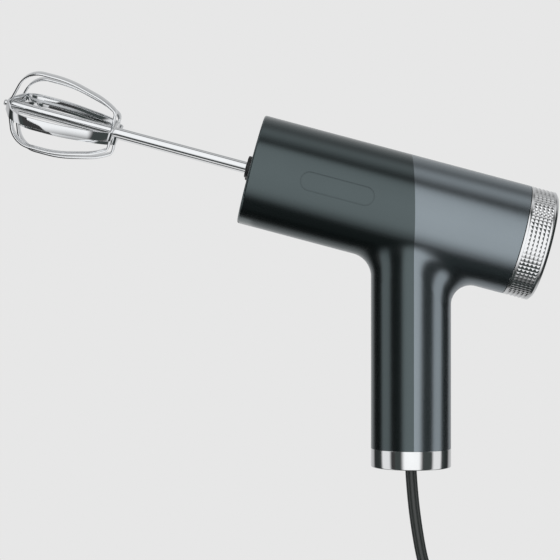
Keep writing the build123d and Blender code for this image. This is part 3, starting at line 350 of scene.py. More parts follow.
# %% Lacquer
FLAKE_SCALE = 5200.0
FLAKE_CONTRAST = 0.12
FLAKE_SHARE = 0.6
FLAKE_RELIEF = 0.15
PEEL_SCALE = 420.0
PEEL_HEIGHT = 0.000012
CLOUD_SCALE = 38.0
CLOUD_ROUGHNESS = 0.04
COAT_WEIGHT = 0.45
GROOVE_SHADOW = 0.15


def lacquer(name, colour, roughness, coat_roughness, blend, groove=None):
    """Metallic lacquer under a clear coat, with painted shade along a groove where one is given."""
    dark = opaque([(1 - FLAKE_CONTRAST) * value for value in colour])
    light = opaque([(1 + FLAKE_CONTRAST) * value for value in colour])

    def look(graph):
        flakes = graph.noise(FLAKE_SCALE, detail=1.0)
        clouds = graph.noise(CLOUD_SCALE, detail=3.0)
        tint = graph.mix(flakes * FLAKE_SHARE + clouds * (1 - FLAKE_SHARE), dark, light)
        relief = graph.noise(PEEL_SCALE) + flakes * FLAKE_RELIEF
        links = {
            "roughness": roughness + (clouds - 0.5) * CLOUD_ROUGHNESS,
            "normal": graph.bump(relief, PEEL_HEIGHT, eased_neck(graph, blend)),
        }
        if groove:
            # Painted shade: along the groove the base colour is darkened and the clear coat thinned, where
            # little light reaches.
            shadow = groove(graph) * GROOVE_SHADOW
            tint = graph.mix(shadow, tint, opaque((0, 0, 0)))
            links["coat_weight"] = COAT_WEIGHT * (1 - shadow)
        links["base_color"] = tint
        return links

    return shade(name, look, metallic=1.0, coat_weight=COAT_WEIGHT, coat_roughness=coat_roughness)


front_lacquer = lacquer("front_lacquer", (0.084, 0.108, 0.112), 0.21, 0.28, FRONT_BLEND, outline_groove)
rear_lacquer = lacquer("rear_lacquer", (0.262, 0.303, 0.330), 0.22, 0.40, REAR_BLEND)
print("lacquer nodes", len(front_lacquer.node_tree.nodes), len(rear_lacquer.node_tree.nodes))

# %% [markdown]
# ## Chrome
# The ring, the dial and the beaters are plated and polished. A faint haze dulls the plating in places, and
# fine rubbing marks change its roughness. The beaters are the smoother ones.

# %% Chrome
FINE_MARKS = (900, 900, 900)
HAZE_DIP = 0.94
RUBBED_ROUGHNESS = 0.02


def polish(name, tint, roughness):
    """Polished plating: bright, nearly colourless, with haze and fine rubbing marks."""

    def look(graph):
        marks = graph.noise(1.0, detail=3.0, place=graph.place(FINE_MARKS))
        haze = graph.noise(CLOUD_SCALE)
        return {
            "base_color": graph.mix(haze, opaque([HAZE_DIP * value for value in tint]), opaque(tint)),
            "roughness": roughness + marks * RUBBED_ROUGHNESS + haze * RUBBED_ROUGHNESS,
        }

    return shade(name, look, metallic=1.0)


chrome = polish("chrome", (0.92, 0.925, 0.93), 0.07)
beater_chrome = polish("beater_chrome", (0.90, 0.91, 0.92), 0.04)
print("chrome nodes", len(chrome.node_tree.nodes))

# %% [markdown]
# ## Plastics, rubber and the metals inside
# Moulded black parts have a fine spark-eroded grain. The cord's sheath is smoother and a little green-black.
# The pieces inside the barrel never show, but each still gets the finish of its own stuff, because the model
# can be taken apart: turned steel, sintered bronze, enamelled copper wire, nylon gears.

# %% Moulded and turned finishes
GRAIN_ROUGHNESS = 0.12
MARK_ROUGHNESS = 0.15
MARK_HEIGHT = 0.00001


def moulded(name, dark, light, roughness, grain_scale=1500.0, grain_height=0.00001, **constants):
    """A moulded or extruded plastic with a fine grain."""

    def look(graph):
        grain = graph.noise(grain_scale)
        clouds = graph.noise(CLOUD_SCALE, detail=3.0)
        return {
            "base_color": graph.mix(grain * 0.5 + clouds * 0.5, opaque(dark), opaque(light)),
            "roughness": roughness + (grain - 0.5) * GRAIN_ROUGHNESS,
            "normal": graph.bump(grain, grain_height),
        }

    return shade(name, look, **constants)


def turned(name, dark, light, roughness, along):
    """Machined metal with tool marks across one direction of the barrel."""

    def look(graph):
        marks = graph.noise(1.0, detail=3.0, place=graph.place(along, (0, BARREL_TILT, 0)))
        return {
            "base_color": graph.mix(marks, opaque(dark), opaque(light)),
            "roughness": roughness + (marks - 0.5) * MARK_ROUGHNESS,
            "normal": graph.bump(marks, MARK_HEIGHT),
        }

    return shade(name, look, metallic=1.0)


# %% Plastics, rubber and inner metals
TOOL_MARKS = (4000, 300, 300)
WINDING_MARKS = (300, 2600, 2600)

black_plastic = moulded("black_plastic", (0.010, 0.011, 0.012), (0.020, 0.021, 0.022), 0.38)
cord_sheath = moulded(
    "cord_sheath",
    (0.010, 0.016, 0.014),
    (0.017, 0.025, 0.021),
    0.38,
    grain_scale=600.0,
    grain_height=0.000012,
    specular_ior_level=1.0,
)
nylon = moulded("nylon", (0.74, 0.71, 0.63), (0.84, 0.82, 0.75), 0.42, 900.0, subsurface_weight=0.05)
ferrite = moulded("ferrite", (0.05, 0.05, 0.055), (0.10, 0.10, 0.11), 0.7, 1800.0, 0.00003)
carbon = moulded("carbon", (0.02, 0.02, 0.02), (0.05, 0.05, 0.05), 0.55, 2600.0, 0.00002)
board_laminate = moulded("board_laminate", (0.02, 0.13, 0.06), (0.04, 0.20, 0.10), 0.35, 1200.0)
component_case = moulded("component_case", (0.05, 0.09, 0.20), (0.09, 0.14, 0.28), 0.3, 1200.0)
lead_cover = moulded("lead_cover", (0.12, 0.07, 0.04), (0.20, 0.12, 0.07), 0.4, 900.0)
turned_steel = turned("turned_steel", (0.42, 0.43, 0.44), (0.60, 0.61, 0.62), 0.3, TOOL_MARKS)
bronze = turned("bronze", (0.42, 0.27, 0.12), (0.60, 0.42, 0.22), 0.4, FINE_MARKS)
copper_wire = turned("copper_wire", (0.45, 0.17, 0.07), (0.70, 0.33, 0.16), 0.32, WINDING_MARKS)
print("black plastic nodes", len(black_plastic.node_tree.nodes))

# %% [markdown]
# ## Which piece gets which finish
# The part's record names a material slot for every piece. One dictionary pairs each slot with its finish, so
# that no piece is forgotten, also among those that stay as the solids made them.

# %% Finishes for the slots
FINISHES = {
    "front_shell": front_lacquer,
    "rear_shell": rear_lacquer,
    "chrome": chrome,
    "beater_steel": beater_chrome,
    "black_plastic": black_plastic,
    "black_rubber": cord_sheath,
    "steel": turned_steel,
    "bronze": bronze,
    "copper": copper_wire,
    "gear_plastic": nylon,
    "ferrite": ferrite,
    "carbon": carbon,
    "board": board_laminate,
    "component_plastic": component_case,
    "lead_insulation": lead_cover,
}
for part in frame["record"]["subparts"]:
    mesh = nodes[part["node"]].data
    mesh.materials.clear()
    mesh.materials.append(FINISHES[part["material_slot"]])
print("finishes for", len(FINISHES), "slots")

# %% [markdown]
# ## The cord
# The cord is one length of flex. It leaves the foot straight down, sways to the rear, meets the table and
# ends in a put-away coil with a plug. A NURBS spline takes the route's corners as control points and stays
# smooth between them. The coil's half turns are more points of the same spline: each turn's points stand on
# a slightly larger circle, so that the curve between them has the true radius.

# %% Cord route
CORD_RADIUS = 3.15
CORD_EXIT = -49.7
CORD_CORNERS = ((0.0, 4.5), (2.4, 30.0), (7.9, 60.0), (21.6, 76.3), (43.5, 86.0))
CORD_LAST_RUN = 16.0
COIL_RADIUS = 39.9
COIL_PITCH = 6.9
COIL_HALF_TURNS = 9
COIL_STEPS = 8
TIE_GAP = 0.35
TIE_THICKNESS = 0.65
TAIL_RUNS = (12.0, 18.0, 12.0)
TAIL_SHIFT = -4.0
PLUG_THICKNESS = 13.7

coil_start = Vector((CORD_CORNERS[-1][0] + CORD_LAST_RUN, 0, FOOT_BOTTOM - CORD_CORNERS[-1][1]))
FLOOR = coil_start.z - CORD_RADIUS - TIE_GAP - TIE_THICKNESS
coil_x = coil_start.x + 2 * CORD_RADIUS


def coil_points():
    """Control points of the coil's half turns: inward, up a layer and outward again."""
    points = []
    middle = COIL_HALF_TURNS // 2
    y, z = coil_start.y, coil_start.z
    step = math.pi / COIL_STEPS
    for turn in range(COIL_HALF_TURNS):
        radius = COIL_RADIUS - (middle - abs(turn - middle)) * COIL_PITCH / 2
        outward = 1 if turn % 2 == 0 else -1
        rise = COIL_PITCH if turn == middle else 0.0
        centre = y + outward * radius
        for stop in range(COIL_STEPS):
            angle = (stop + 0.5) * step
            reach = radius / math.cos(step / 2)
            along = outward * reach * math.sin(angle)
            across = -outward * reach * math.cos(angle)
            points.append(Vector((coil_x + along, centre + across, z + rise * (stop + 0.5) / COIL_STEPS)))
        y += outward * 2 * radius
        z += rise
    return points, Vector((coil_x - 2 * CORD_RADIUS, y, z))


def tail_points(start):
    """Corners from the coil's end down to the plug's neck."""
    first, second, third = TAIL_RUNS
    height = FLOOR + PLUG_THICKNESS / 2
    corner = Vector((start.x - first, start.y, start.z))
    landing = Vector((corner.x - second, start.y + TAIL_SHIFT, height))
    return [corner, landing, Vector((landing.x - third, landing.y, height))]


coil, coil_end = coil_points()
tail = tail_points(coil_end)
route = [Vector((0, 0, CORD_EXIT))]
route += [Vector((x, 0, FOOT_BOTTOM - drop)) for x, drop in CORD_CORNERS]
route += [coil_start, *coil, coil_end, *tail]
plug_neck = tail[-1]
print("route points", len(route), "floor", round(FLOOR, 2), "plug neck", [round(v, 2) for v in plug_neck])

# %% Cord curve
CORD_SIDES = 6
CORD_STEPS = 6
CORD_ORDER = 3

cord_curve = bpy.data.curves.new("cord_flex", "CURVE")
cord_curve.dimensions = "3D"
cord_curve.bevel_depth = CORD_RADIUS * MM
cord_curve.bevel_resolution = CORD_SIDES
cord_curve.resolution_u = CORD_STEPS
cord_curve.use_fill_caps = True
spline = cord_curve.splines.new("NURBS")
spline.points.add(len(route) - 1)
for point, corner in zip(spline.points, route):
    point.co = (*(corner * MM), 1.0)
spline.order_u = CORD_ORDER
spline.use_endpoint_u = True
cord_flex = bpy.data.objects.new("cord_flex", cord_curve)
bpy.context.scene.collection.objects.link(cord_flex)
cord_curve.materials.append(cord_sheath)
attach(cord_flex, "housing")
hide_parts("cord", "cord_coil", "cord_tail")
print("cord spline", round(spline.calc_length(), 4))

# %% [markdown]
# ## Turned pieces
# Rings, shafts and collars are bodies of revolution. A profile of radius and height is drawn once, its
# corners are rounded so that each edge catches a thin line of light, and it is spun round the axis.
# A CAD mesh has coarser facets, which show as bands in polished metal, so these finer ones replace it.

# %% Lathe
LATHE_SEGMENTS = 128
CORNER_STEPS = 4
SHARP_ANGLE = math.radians(28)
STRAIGHT_HALF = math.radians(89.5)
WELD_REACH = 0.0005
FINE_EDGE = 0.1


def arc_between(before, corner, after, radius, steps):
    """Points of the arc that rounds one corner of a flat line."""
    to_before = (before - corner).normalized()
    to_after = (after - corner).normalized()
    half = to_before.angle(to_after) / 2
    if radius <= 0 or half > STRAIGHT_HALF:
        return [corner]
    reach = radius / math.tan(half)
    centre = corner + (to_before + to_after).normalized() * (radius / math.sin(half))
    start = corner + to_before * reach - centre
    sweep = start.angle_signed(corner + to_after * reach - centre)
    turns = [Matrix.Rotation(-sweep * step / steps, 2) for step in range(steps + 1)]
    return [centre + turn @ start for turn in turns]


def soften(profile, radius):
    """A profile with its inner corners rounded; a corner may carry its own radius as a third number."""
    corners = [Vector(point[:2]) for point in profile]
    rounded = [corners[0]]
    for place in range(1, len(corners) - 1):
        size = profile[place][2] if len(profile[place]) > 2 else radius
        rounded += arc_between(corners[place - 1], corners[place], corners[place + 1], size, CORNER_STEPS)
    return [*rounded, corners[-1]]


def mesh_of(name, shape):
    """A mesh from a bmesh, which is then given up."""
    mesh = bpy.data.meshes.new(name)
    shape.to_mesh(mesh)
    shape.free()
    return mesh


def new_piece(name, mesh, material):
    """A mesh object at the origin with one finish, smooth but for its sharp edges."""
    mesh.materials.append(material)
    mesh.polygons.foreach_set("use_smooth", [True] * len(mesh.polygons))
    mesh.set_sharp_from_angle(angle=SHARP_ANGLE)
    piece = bpy.data.objects.new(name, mesh)
    bpy.context.scene.collection.objects.link(piece)
    return piece


def lathe(name, profile, frame_matrix, material, segments=LATHE_SEGMENTS):
    """A profile of radius and height spun round the frame's Z axis."""
    shape = bmesh.new()
    line = [shape.verts.new((point.x, 0, point.y)) for point in profile]
    edges = [shape.edges.new(pair) for pair in zip(line, line[1:])]
    bmesh.ops.spin(
        shape,
        geom=line + edges,
        axis=(0, 0, 1),
        cent=(0, 0, 0),
        angle=2 * math.pi,
        steps=segments,
        use_merge=True,
    )
    bmesh.ops.remove_doubles(shape, verts=shape.verts, dist=WELD_REACH)
    bmesh.ops.recalc_face_normals(shape, faces=shape.faces)
    mesh = mesh_of(name, shape)
    mesh.transform(frame_matrix)
    return new_piece(name, mesh, material)


# %% [markdown]
# ## Foot ring and socket collars
# The foot ring is a short chrome cup with a rolled lower edge. Each collar is a black moulded eyelet in the
# nose, round a beater's shaft.

# %% Foot ring and collars
FOOT_RING_RADIUS = GRIP_RADIUS
FOOT_RING_BORE = 20.8
FOOT_LIP_INNER = 17.4
FOOT_LIP_TOP = -48.7
FOOT_RING_TOP = -40.0
FOOT_EDGE = 0.6
FOOT_RING_EDGE = 0.2
COLLAR_RADIUS = 6.0
COLLAR_BORE = 4.3
COLLAR_SPIGOT = 5.0
COLLAR_STANDOUT = 2.4
COLLAR_OUTER_EDGE = 0.7
COLLAR_INNER_EDGE = 0.5
NOSE_INNER = 88.5

ring_profile = [
    (FOOT_LIP_INNER, FOOT_LIP_TOP),
    (FOOT_LIP_INNER, FOOT_BOTTOM),
    (FOOT_RING_RADIUS, FOOT_BOTTOM, FOOT_EDGE),
    (FOOT_RING_RADIUS, FOOT_RING_TOP),
    (FOOT_RING_BORE, FOOT_RING_TOP),
    (FOOT_RING_BORE, FOOT_LIP_TOP),
    (FOOT_LIP_INNER, FOOT_LIP_TOP),
]
foot_ring = lathe("foot_ring_chrome", soften(ring_profile, FOOT_RING_EDGE), GRIP_FRAME, chrome)
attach(foot_ring, "housing")
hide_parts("foot_ring")
print(foot_ring.name, "faces", len(foot_ring.data.polygons))

collar_profile = [
    (COLLAR_BORE, NOSE_INNER),
    (COLLAR_SPIGOT, NOSE_INNER),
    (COLLAR_SPIGOT, NOSE_REACH, 0.0),
    (COLLAR_RADIUS, NOSE_REACH, 0.0),
    (COLLAR_RADIUS, NOSE_REACH + COLLAR_STANDOUT, COLLAR_OUTER_EDGE),
    (COLLAR_BORE, NOSE_REACH + COLLAR_STANDOUT, COLLAR_INNER_EDGE),
    (COLLAR_BORE, NOSE_INNER),
]
for side, socket in SOCKETS.items():
    collar = lathe(f"{side}_collar", soften(collar_profile, FINE_EDGE), socket, black_plastic)
    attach(collar, "housing")
    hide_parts(f"{side}_socket_collar")

# %% [markdown]
# ## The beaters
# A beater is a plated shaft with two flat strips bent into closed loops, crossed at a right angle and
# riveted at the tip. A strip follows a rule: a closed line with rounded corners, and a small rounded oblong
# carried along it. Geometry Nodes do exactly that. Each corner of the line holds its own bend radius, Fillet
# Curve bends it, and Curve to Mesh sweeps the strip's section.

# %% Strip loop tree
STRIP_WIDTH = 5.0
STRIP_THICKNESS = 1.2
STRIP_EDGE = 0.2
BEND_STEPS = 14
EDGE_STEPS = 3


def add_input(tree, name, kind, value=None):
    """A named input of a Geometry Nodes tree."""
    made = tree.interface.new_socket(name, in_out="INPUT", socket_type=kind)
    if value is not None:
        made.default_value = value


def start_tree(name, inputs):
    """A Geometry Nodes tree with geometry in and out, and further named inputs."""
    tree = bpy.data.node_groups.new(name, "GeometryNodeTree")
    add_input(tree, "Geometry", "NodeSocketGeometry")
    tree.interface.new_socket("Geometry", in_out="OUTPUT", socket_type="NodeSocketGeometry")
    for title, kind, value in inputs:
        add_input(tree, title, kind, value)
    graph = Graph(tree)
    entry = tree.nodes.new("NodeGroupInput")
    return graph, {socket.name: Socket(graph, socket) for socket in entry.outputs if socket.name}


def end_tree(graph, geometry, material):
    """Realizes instances, sets the finish and ends the tree."""
    real = graph.node("GeometryNodeRealizeInstances", {}, {"Geometry": geometry})
    done = graph.node("GeometryNodeSetMaterial", {}, {"Geometry": real, "Material": material})
    graph.node("NodeGroupOutput", {}, {0: done})


def grow(name, host, tree):
    """Runs a tree on an object and returns the result as a plain mesh."""
    modifier = host.modifiers.new(name, "NODES")
    modifier.node_group = tree
    evaluated = host.evaluated_get(bpy.context.evaluated_depsgraph_get())
    mesh = bpy.data.meshes.new_from_object(evaluated)
    mesh.name = name
    host.modifiers.remove(modifier)
    bpy.data.objects.remove(host)
    return mesh


def strip_tree():
    """Bends a closed line at its corners and carries the strip's section along it."""
    inputs = [
        ("Width", "NodeSocketFloat", STRIP_WIDTH),
        ("Thickness", "NodeSocketFloat", STRIP_THICKNESS),
        ("Edge Radius", "NodeSocketFloat", STRIP_EDGE),
    ]
    graph, values = start_tree("strip_loop", inputs)
    radius = graph.node("GeometryNodeInputRadius")
    bend = {"Curve": values["Geometry"], "Count": BEND_STEPS, "Radius": radius, "Limit Radius": False}
    bent = graph.node("GeometryNodeFilletCurve", {"mode": "POLY"}, bend)
    level = graph.node("GeometryNodeSetCurveRadius", {}, {"Curve": bent, "Radius": 1.0})
    upright = graph.node("GeometryNodeSetCurveNormal", {"mode": "Z_UP"}, {"Curve": level})
    oblong = {"Width": values["Thickness"], "Height": values["Width"]}
    section = graph.node("GeometryNodeCurvePrimitiveQuadrilateral", {"mode": "RECTANGLE"}, oblong)
    edge = {"Curve": section, "Count": EDGE_STEPS, "Radius": values["Edge Radius"], "Limit Radius": True}
    section = graph.node("GeometryNodeFilletCurve", {"mode": "POLY"}, edge)
    swept = graph.node("GeometryNodeCurveToMesh", {}, {"Curve": upright, "Profile Curve": section})
    end_tree(graph, swept, beater_chrome)
    return graph.tree


strip = strip_tree()
print("strip tree nodes", len(strip.nodes))

# %% Beater loops
LOOP_ROOT = 76.0
LOOP_TIP = 136.4
LOOP_GAP = 0.05
LOOP_STACK = STRIP_THICKNESS + LOOP_GAP
LOOP_HALF = ((11.4, 0.0), (16.2, 9.0), (21.8, 30.0), (21.7, 53.6), (3.4, LOOP_TIP - LOOP_ROOT))
LOOP_RADII = (4.0, 40.0, 60.0, 13.0, 4.0)
BEATER_TURN = math.radians(-22.5)


def inset_line(corners, distance):
    """A closed convex line moved inward by a distance, corner by corner."""
    moved = []
    count = len(corners)
    for place, corner in enumerate(corners):
        back = (corners[place - 1] - corner).normalized()
        ahead = (corners[(place + 1) % count] - corner).normalized()
        half = back.angle(ahead) / 2
        moved.append(corner + (back + ahead).normalized() * (distance / math.sin(half)))
    return moved


def strip_loop(name, inset, place):
    """One closed strip loop, drawn flat in XY along Y and then placed."""
    base = NOSE_REACH + LOOP_ROOT
    rise = [along for _, along in LOOP_HALF]
    rise[0] += inset
    rise[-1] -= inset
    half = [Vector((x, base + along)) for (x, _), along in zip(LOOP_HALF, rise)]
    corners = half + [Vector((-point.x, point.y)) for point in reversed(half)]
    radii = LOOP_RADII + LOOP_RADII[::-1]
    middle = inset_line(corners, STRIP_THICKNESS / 2)
    curve = bpy.data.curves.new(name, "CURVE")
    curve.dimensions = "3D"
    line = curve.splines.new("POLY")
    line.points.add(len(middle) - 1)
    for point, corner, radius in zip(line.points, middle, radii):
        point.co = (corner.x, corner.y, 0, 1)
        point.radius = radius - STRIP_THICKNESS / 2
    line.use_cyclic_u = True
    host = bpy.data.objects.new(name, curve)
    bpy.context.scene.collection.objects.link(host)
    mesh = grow(name, host, strip)
    mesh.transform(place)
    mesh.materials.clear()
    return new_piece(name, mesh, beater_chrome)


# A loop drawn in XY is stood up so that its Y runs along the barrel.
FLAT_TO_BARREL = Matrix(((1, 0, 0, 0), (0, 0, -1, 0), (0, 1, 0, 0), (0, 0, 0, 1)))
for side, socket in SOCKETS.items():
    for loop, turn, inset in (("outer_loop", 0.0, 0.0), ("inner_loop", math.pi / 2, LOOP_STACK)):
        place = socket @ Matrix.Rotation(BEATER_TURN + turn, 4, "Z") @ FLAT_TO_BARREL
        piece = strip_loop(f"{side}_{loop}", inset, place)
        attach(piece, f"{side}_beater")
        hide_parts(f"{side}_beater_{loop}")
        low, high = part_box(f"{side}_beater_{loop}")
        print(piece.name, "faces", len(piece.data.polygons), [round(v, 4) for v in high - low])

# %% [markdown]
# ## Beater shafts
# Each shaft is a plain rod with a detent groove inside the mixer and a riveted stud at the tip, so it is
# one more turned piece. Two flat drive lugs stand out of it inside the nose. They come into the open when
# the beater is drawn out.

# %% Beater shafts
SHAFT_RADIUS = 2.5
SHAFT_INNER = 62.5
TIP_STUD_RADIUS = 1.65
TIP_STUD_LENGTH = 2.0
TIP_STUD_EDGE = 0.8
SHAFT_END_EDGE = 0.4
SHAFT_SEGMENTS = 48
DETENT_START = 64.5
DETENT_END = 66.5
DETENT_DEPTH = 0.4
LUG_REACH = 4.0
LUG_WIDTH = 1.4
LUG_LENGTH = 5.0
LUG_FRONT = 87.0
LUG_EASE = 0.15


def drive_lugs(name, socket):
    """A flat bar across a shaft, with eased edges."""
    shape = bmesh.new()
    bmesh.ops.create_cube(shape, size=1.0)
    bmesh.ops.scale(shape, vec=(2 * LUG_REACH, LUG_WIDTH, LUG_LENGTH), verts=shape.verts)
    bmesh.ops.translate(shape, vec=(0, 0, LUG_FRONT - LUG_LENGTH / 2), verts=shape.verts)
    bmesh.ops.bevel(shape, geom=shape.edges[:], offset=LUG_EASE, segments=2, affect="EDGES")
    mesh = mesh_of(name, shape)
    mesh.transform(socket)
    return new_piece(name, mesh, beater_chrome)


shoulder = NOSE_REACH + LOOP_TIP - 2 * LOOP_STACK
stud_end = NOSE_REACH + LOOP_TIP + TIP_STUD_LENGTH
shaft_profile = [
    (0, SHAFT_INNER),
    (SHAFT_RADIUS, SHAFT_INNER, SHAFT_END_EDGE),
    (SHAFT_RADIUS, DETENT_START),
    (SHAFT_RADIUS - DETENT_DEPTH, DETENT_START),
    (SHAFT_RADIUS - DETENT_DEPTH, DETENT_END),
    (SHAFT_RADIUS, DETENT_END),
    (SHAFT_RADIUS, shoulder),
    (TIP_STUD_RADIUS, shoulder),
    (TIP_STUD_RADIUS, stud_end, TIP_STUD_EDGE),
    (0, stud_end),
]
for side, socket in SOCKETS.items():
    profile = soften(shaft_profile, FINE_EDGE)
    shaft = lathe(f"{side}_shaft", profile, socket, beater_chrome, SHAFT_SEGMENTS)
    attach(shaft, f"{side}_beater")
    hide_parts(f"{side}_beater_shaft")
    lugs = drive_lugs(f"{side}_lugs", socket)
    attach(lugs, f"{side}_beater")
    for piece in (shaft, lugs):
        print(piece.name, "faces", len(piece.data.polygons))

# %% [markdown]
# ## The knurled dial
# The dial is a chrome cup. Five rows of small square pyramids run round it, with a thin plain rim in front
# and a wider one behind. The cup is turned on the lathe. One pyramid is modelled once with eased edges, and
# a Geometry Nodes tree sets it on every place of the pattern.

# %% Knurl stud
DIAL_GAP = 0.4
DIAL_FRONT = -REAR_REACH - DIAL_GAP
DIAL_LENGTH = 15.4
DIAL_REAR = DIAL_FRONT - DIAL_LENGTH
DIAL_WALL = 2.2
DIAL_FRONT_RIM = 1.4
DIAL_SLOPE = (1.9, 1.6)
DIAL_EDGE = 0.4
KNURL_ROWS = 5
KNURL_COUNT = 84
KNURL_PITCH = 2.27
KNURL_DEPTH = 0.42
STUD_EASE = 0.04

knurl_front = DIAL_FRONT - DIAL_FRONT_RIM
knurl_rear = knurl_front - KNURL_ROWS * KNURL_PITCH
valley = BARREL_RADIUS - KNURL_DEPTH


def knurl_stud():
    """One square pyramid on X as its height, with eased edges."""
    half_along = KNURL_PITCH / 2
    half_across = math.pi / KNURL_COUNT * valley
    shape = bmesh.new()
    corners = [(-half_along, -half_across), (half_along, -half_across)]
    corners += [(half_along, half_across), (-half_along, half_across)]
    base = [shape.verts.new((0, across, along)) for along, across in corners]
    tip = shape.verts.new((KNURL_DEPTH, 0, 0))
    for first, second in zip(base, base[1:] + base[:1]):
        shape.faces.new((first, second, tip))
    slopes = [edge for edge in shape.edges if tip in edge.verts]
    bmesh.ops.bevel(shape, geom=slopes, offset=STUD_EASE, segments=1, affect="EDGES")
    bmesh.ops.recalc_face_normals(shape, faces=shape.faces)
    stud = bpy.data.objects.new("knurl_stud", mesh_of("knurl_stud", shape))
    bpy.context.scene.collection.objects.link(stud)
    return stud


# %% Knurl tree


def knurl_tree(stud):
    """Sets a stud on every place of the knurl: rows along the dial, and a count round it."""
    inputs = [
        ("Rows", "NodeSocketInt", KNURL_ROWS),
        ("Count", "NodeSocketInt", KNURL_COUNT),
        ("Pitch", "NodeSocketFloat", KNURL_PITCH),
        ("Radius", "NodeSocketFloat", valley),
        ("Start", "NodeSocketFloat", knurl_front),
    ]
    graph, values = start_tree("knurl", inputs)
    points = graph.node("GeometryNodePoints", {}, {"Count": values["Rows"] * values["Count"]})
    index = graph.node("GeometryNodeInputIndex")
    row = index.maths("FLOOR", index / values["Count"])
    column = index - row * values["Count"]
    angle = column * (2 * math.pi) / values["Count"]
    outward = {"X": index.maths("COSINE", angle), "Y": index.maths("SINE", angle)}
    place = {
        "X": outward["X"] * values["Radius"],
        "Y": outward["Y"] * values["Radius"],
        "Z": values["Start"] - (row + 0.5) * values["Pitch"],
    }
    spot = graph.node("ShaderNodeCombineXYZ", {}, place)
    moved = graph.node("GeometryNodeSetPosition", {}, {"Geometry": points, "Position": spot})
    turn = graph.node("ShaderNodeCombineXYZ", {}, {"Z": angle})
    shape = graph.node("GeometryNodeObjectInfo", {}, {"Object": stud}, "Geometry")
    studs = {"Points": moved, "Instance": shape, "Rotation": turn}
    end_tree(graph, graph.node("GeometryNodeInstanceOnPoints", {}, studs), chrome)
    return graph.tree


# %% Dial
DIAL_FRONT_EDGE = 0.15
KNURL_EDGE = 0.08
DIAL_SEGMENTS = 160

stud = knurl_stud()
host = bpy.data.objects.new("knurl_host", bpy.data.meshes.new("knurl_host"))
bpy.context.scene.collection.objects.link(host)
knurl_mesh = grow("dial_knurl", host, knurl_tree(stud))
bpy.data.objects.remove(stud)

bore = BARREL_RADIUS - DIAL_WALL
cup_floor = DIAL_REAR + DIAL_WALL
dial_profile = [
    (0, cup_floor),
    (bore, cup_floor),
    (bore, DIAL_FRONT),
    (BARREL_RADIUS, DIAL_FRONT, DIAL_FRONT_EDGE),
    (BARREL_RADIUS, knurl_front, KNURL_EDGE),
    (valley, knurl_front, 0.0),
    (valley, knurl_rear, 0.0),
    (BARREL_RADIUS, knurl_rear, KNURL_EDGE),
    (BARREL_RADIUS, DIAL_REAR + DIAL_SLOPE[1], DIAL_EDGE),
    (BARREL_RADIUS - DIAL_SLOPE[0], DIAL_REAR, DIAL_EDGE),
    (0, DIAL_REAR),
]
dial_cup = lathe("dial_cup", soften(dial_profile, FINE_EDGE), BARREL_FRAME, chrome, DIAL_SEGMENTS)
knurl_mesh.transform(BARREL_FRAME)
knurl_mesh.materials.clear()
dial_knurl = new_piece("dial_knurl", knurl_mesh, chrome)
for piece in (dial_cup, dial_knurl):
    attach(piece, "dial")
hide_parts("dial_ring")
print("knurl faces", len(knurl_mesh.polygons), "dial rear", DIAL_REAR)

# %% [markdown]
# ## Light
# The mixer was lit as small chrome goods are: a large white panel in front, a panel at each side, one
# overhead and a bright backdrop, with dark gaps between them that draw the shape. The chrome foot ring shows
# where they stand. The world makes them as soft-edged patches of direction. Rays from the camera see only
# the plain pale grey of the backdrop.
# A span below is the two ends of a patch and the half width of its soft edge. A fade is where a patch
# starts and where it is full. Both are in degrees, but for the top panel's width, which is the sideways part
# of a direction.

# %% Studio world
BACKDROP = 0.799
ROOM_DARK = (0.052, 0.061, 0.060)
PANEL_WHITE = (0.99, 1.0, 1.01)
FRONT_PANEL = 1.0
FRONT_MIDDLE = 0.11
SIDE_PANEL = 0.80
TOP_PANEL = 0.66
BACK_EDGE = 0.37
BACK_MIDDLE = 0.73
BACK_REACH = {"left": 45.5, "right": 51.0, "up": 71.0, "down": 58.5}
BACK_RIM = (1.16, 0.84)
LEAST_SPREAD = 0.000001
PANEL_LOW_FADE = (-78, -33)
PANEL_HIGH_FADE = (62.5, 47.5)
FRONT_SPAN = (-28.5, 25.3, 8)
MIDDLE_SPAN = (-12, 8, 16)
MIDDLE_LIFT_SPAN = (-5, 5, 25)
LEFT_SPAN = (-96, -65, 6)
RIGHT_SPAN = (60.5, 92.5, 6)
TOP_SPAN = (71.5, 104, 18)
TOP_WIDTH_SPAN = (-0.72, 0.72, 0.1)
BEHIND_FADE = (96, 112)
BEHIND_SHADE = 0.5


def degrees(angle):
    """An angle in degrees from one in radians."""
    return angle * (180 / math.pi)


def backdrop_glow(x, y, z):
    """The lit backdrop behind the mixer: an oval in direction, brighter to its middle."""
    aside = degrees(y.maths("ARCCOSINE", y))
    spread = (x * x + z * z).root() + LEAST_SPREAD
    across = (x / BACK_REACH["right"]).larger(x / -BACK_REACH["left"])
    upright = (z / BACK_REACH["up"]).larger(z / -BACK_REACH["down"])
    share = aside * (across * across + upright * upright).root() / spread
    level = BACK_EDGE + (BACK_MIDDLE - BACK_EDGE) * (1 - share).larger(0.0)
    return share.step(*BACK_RIM) * level


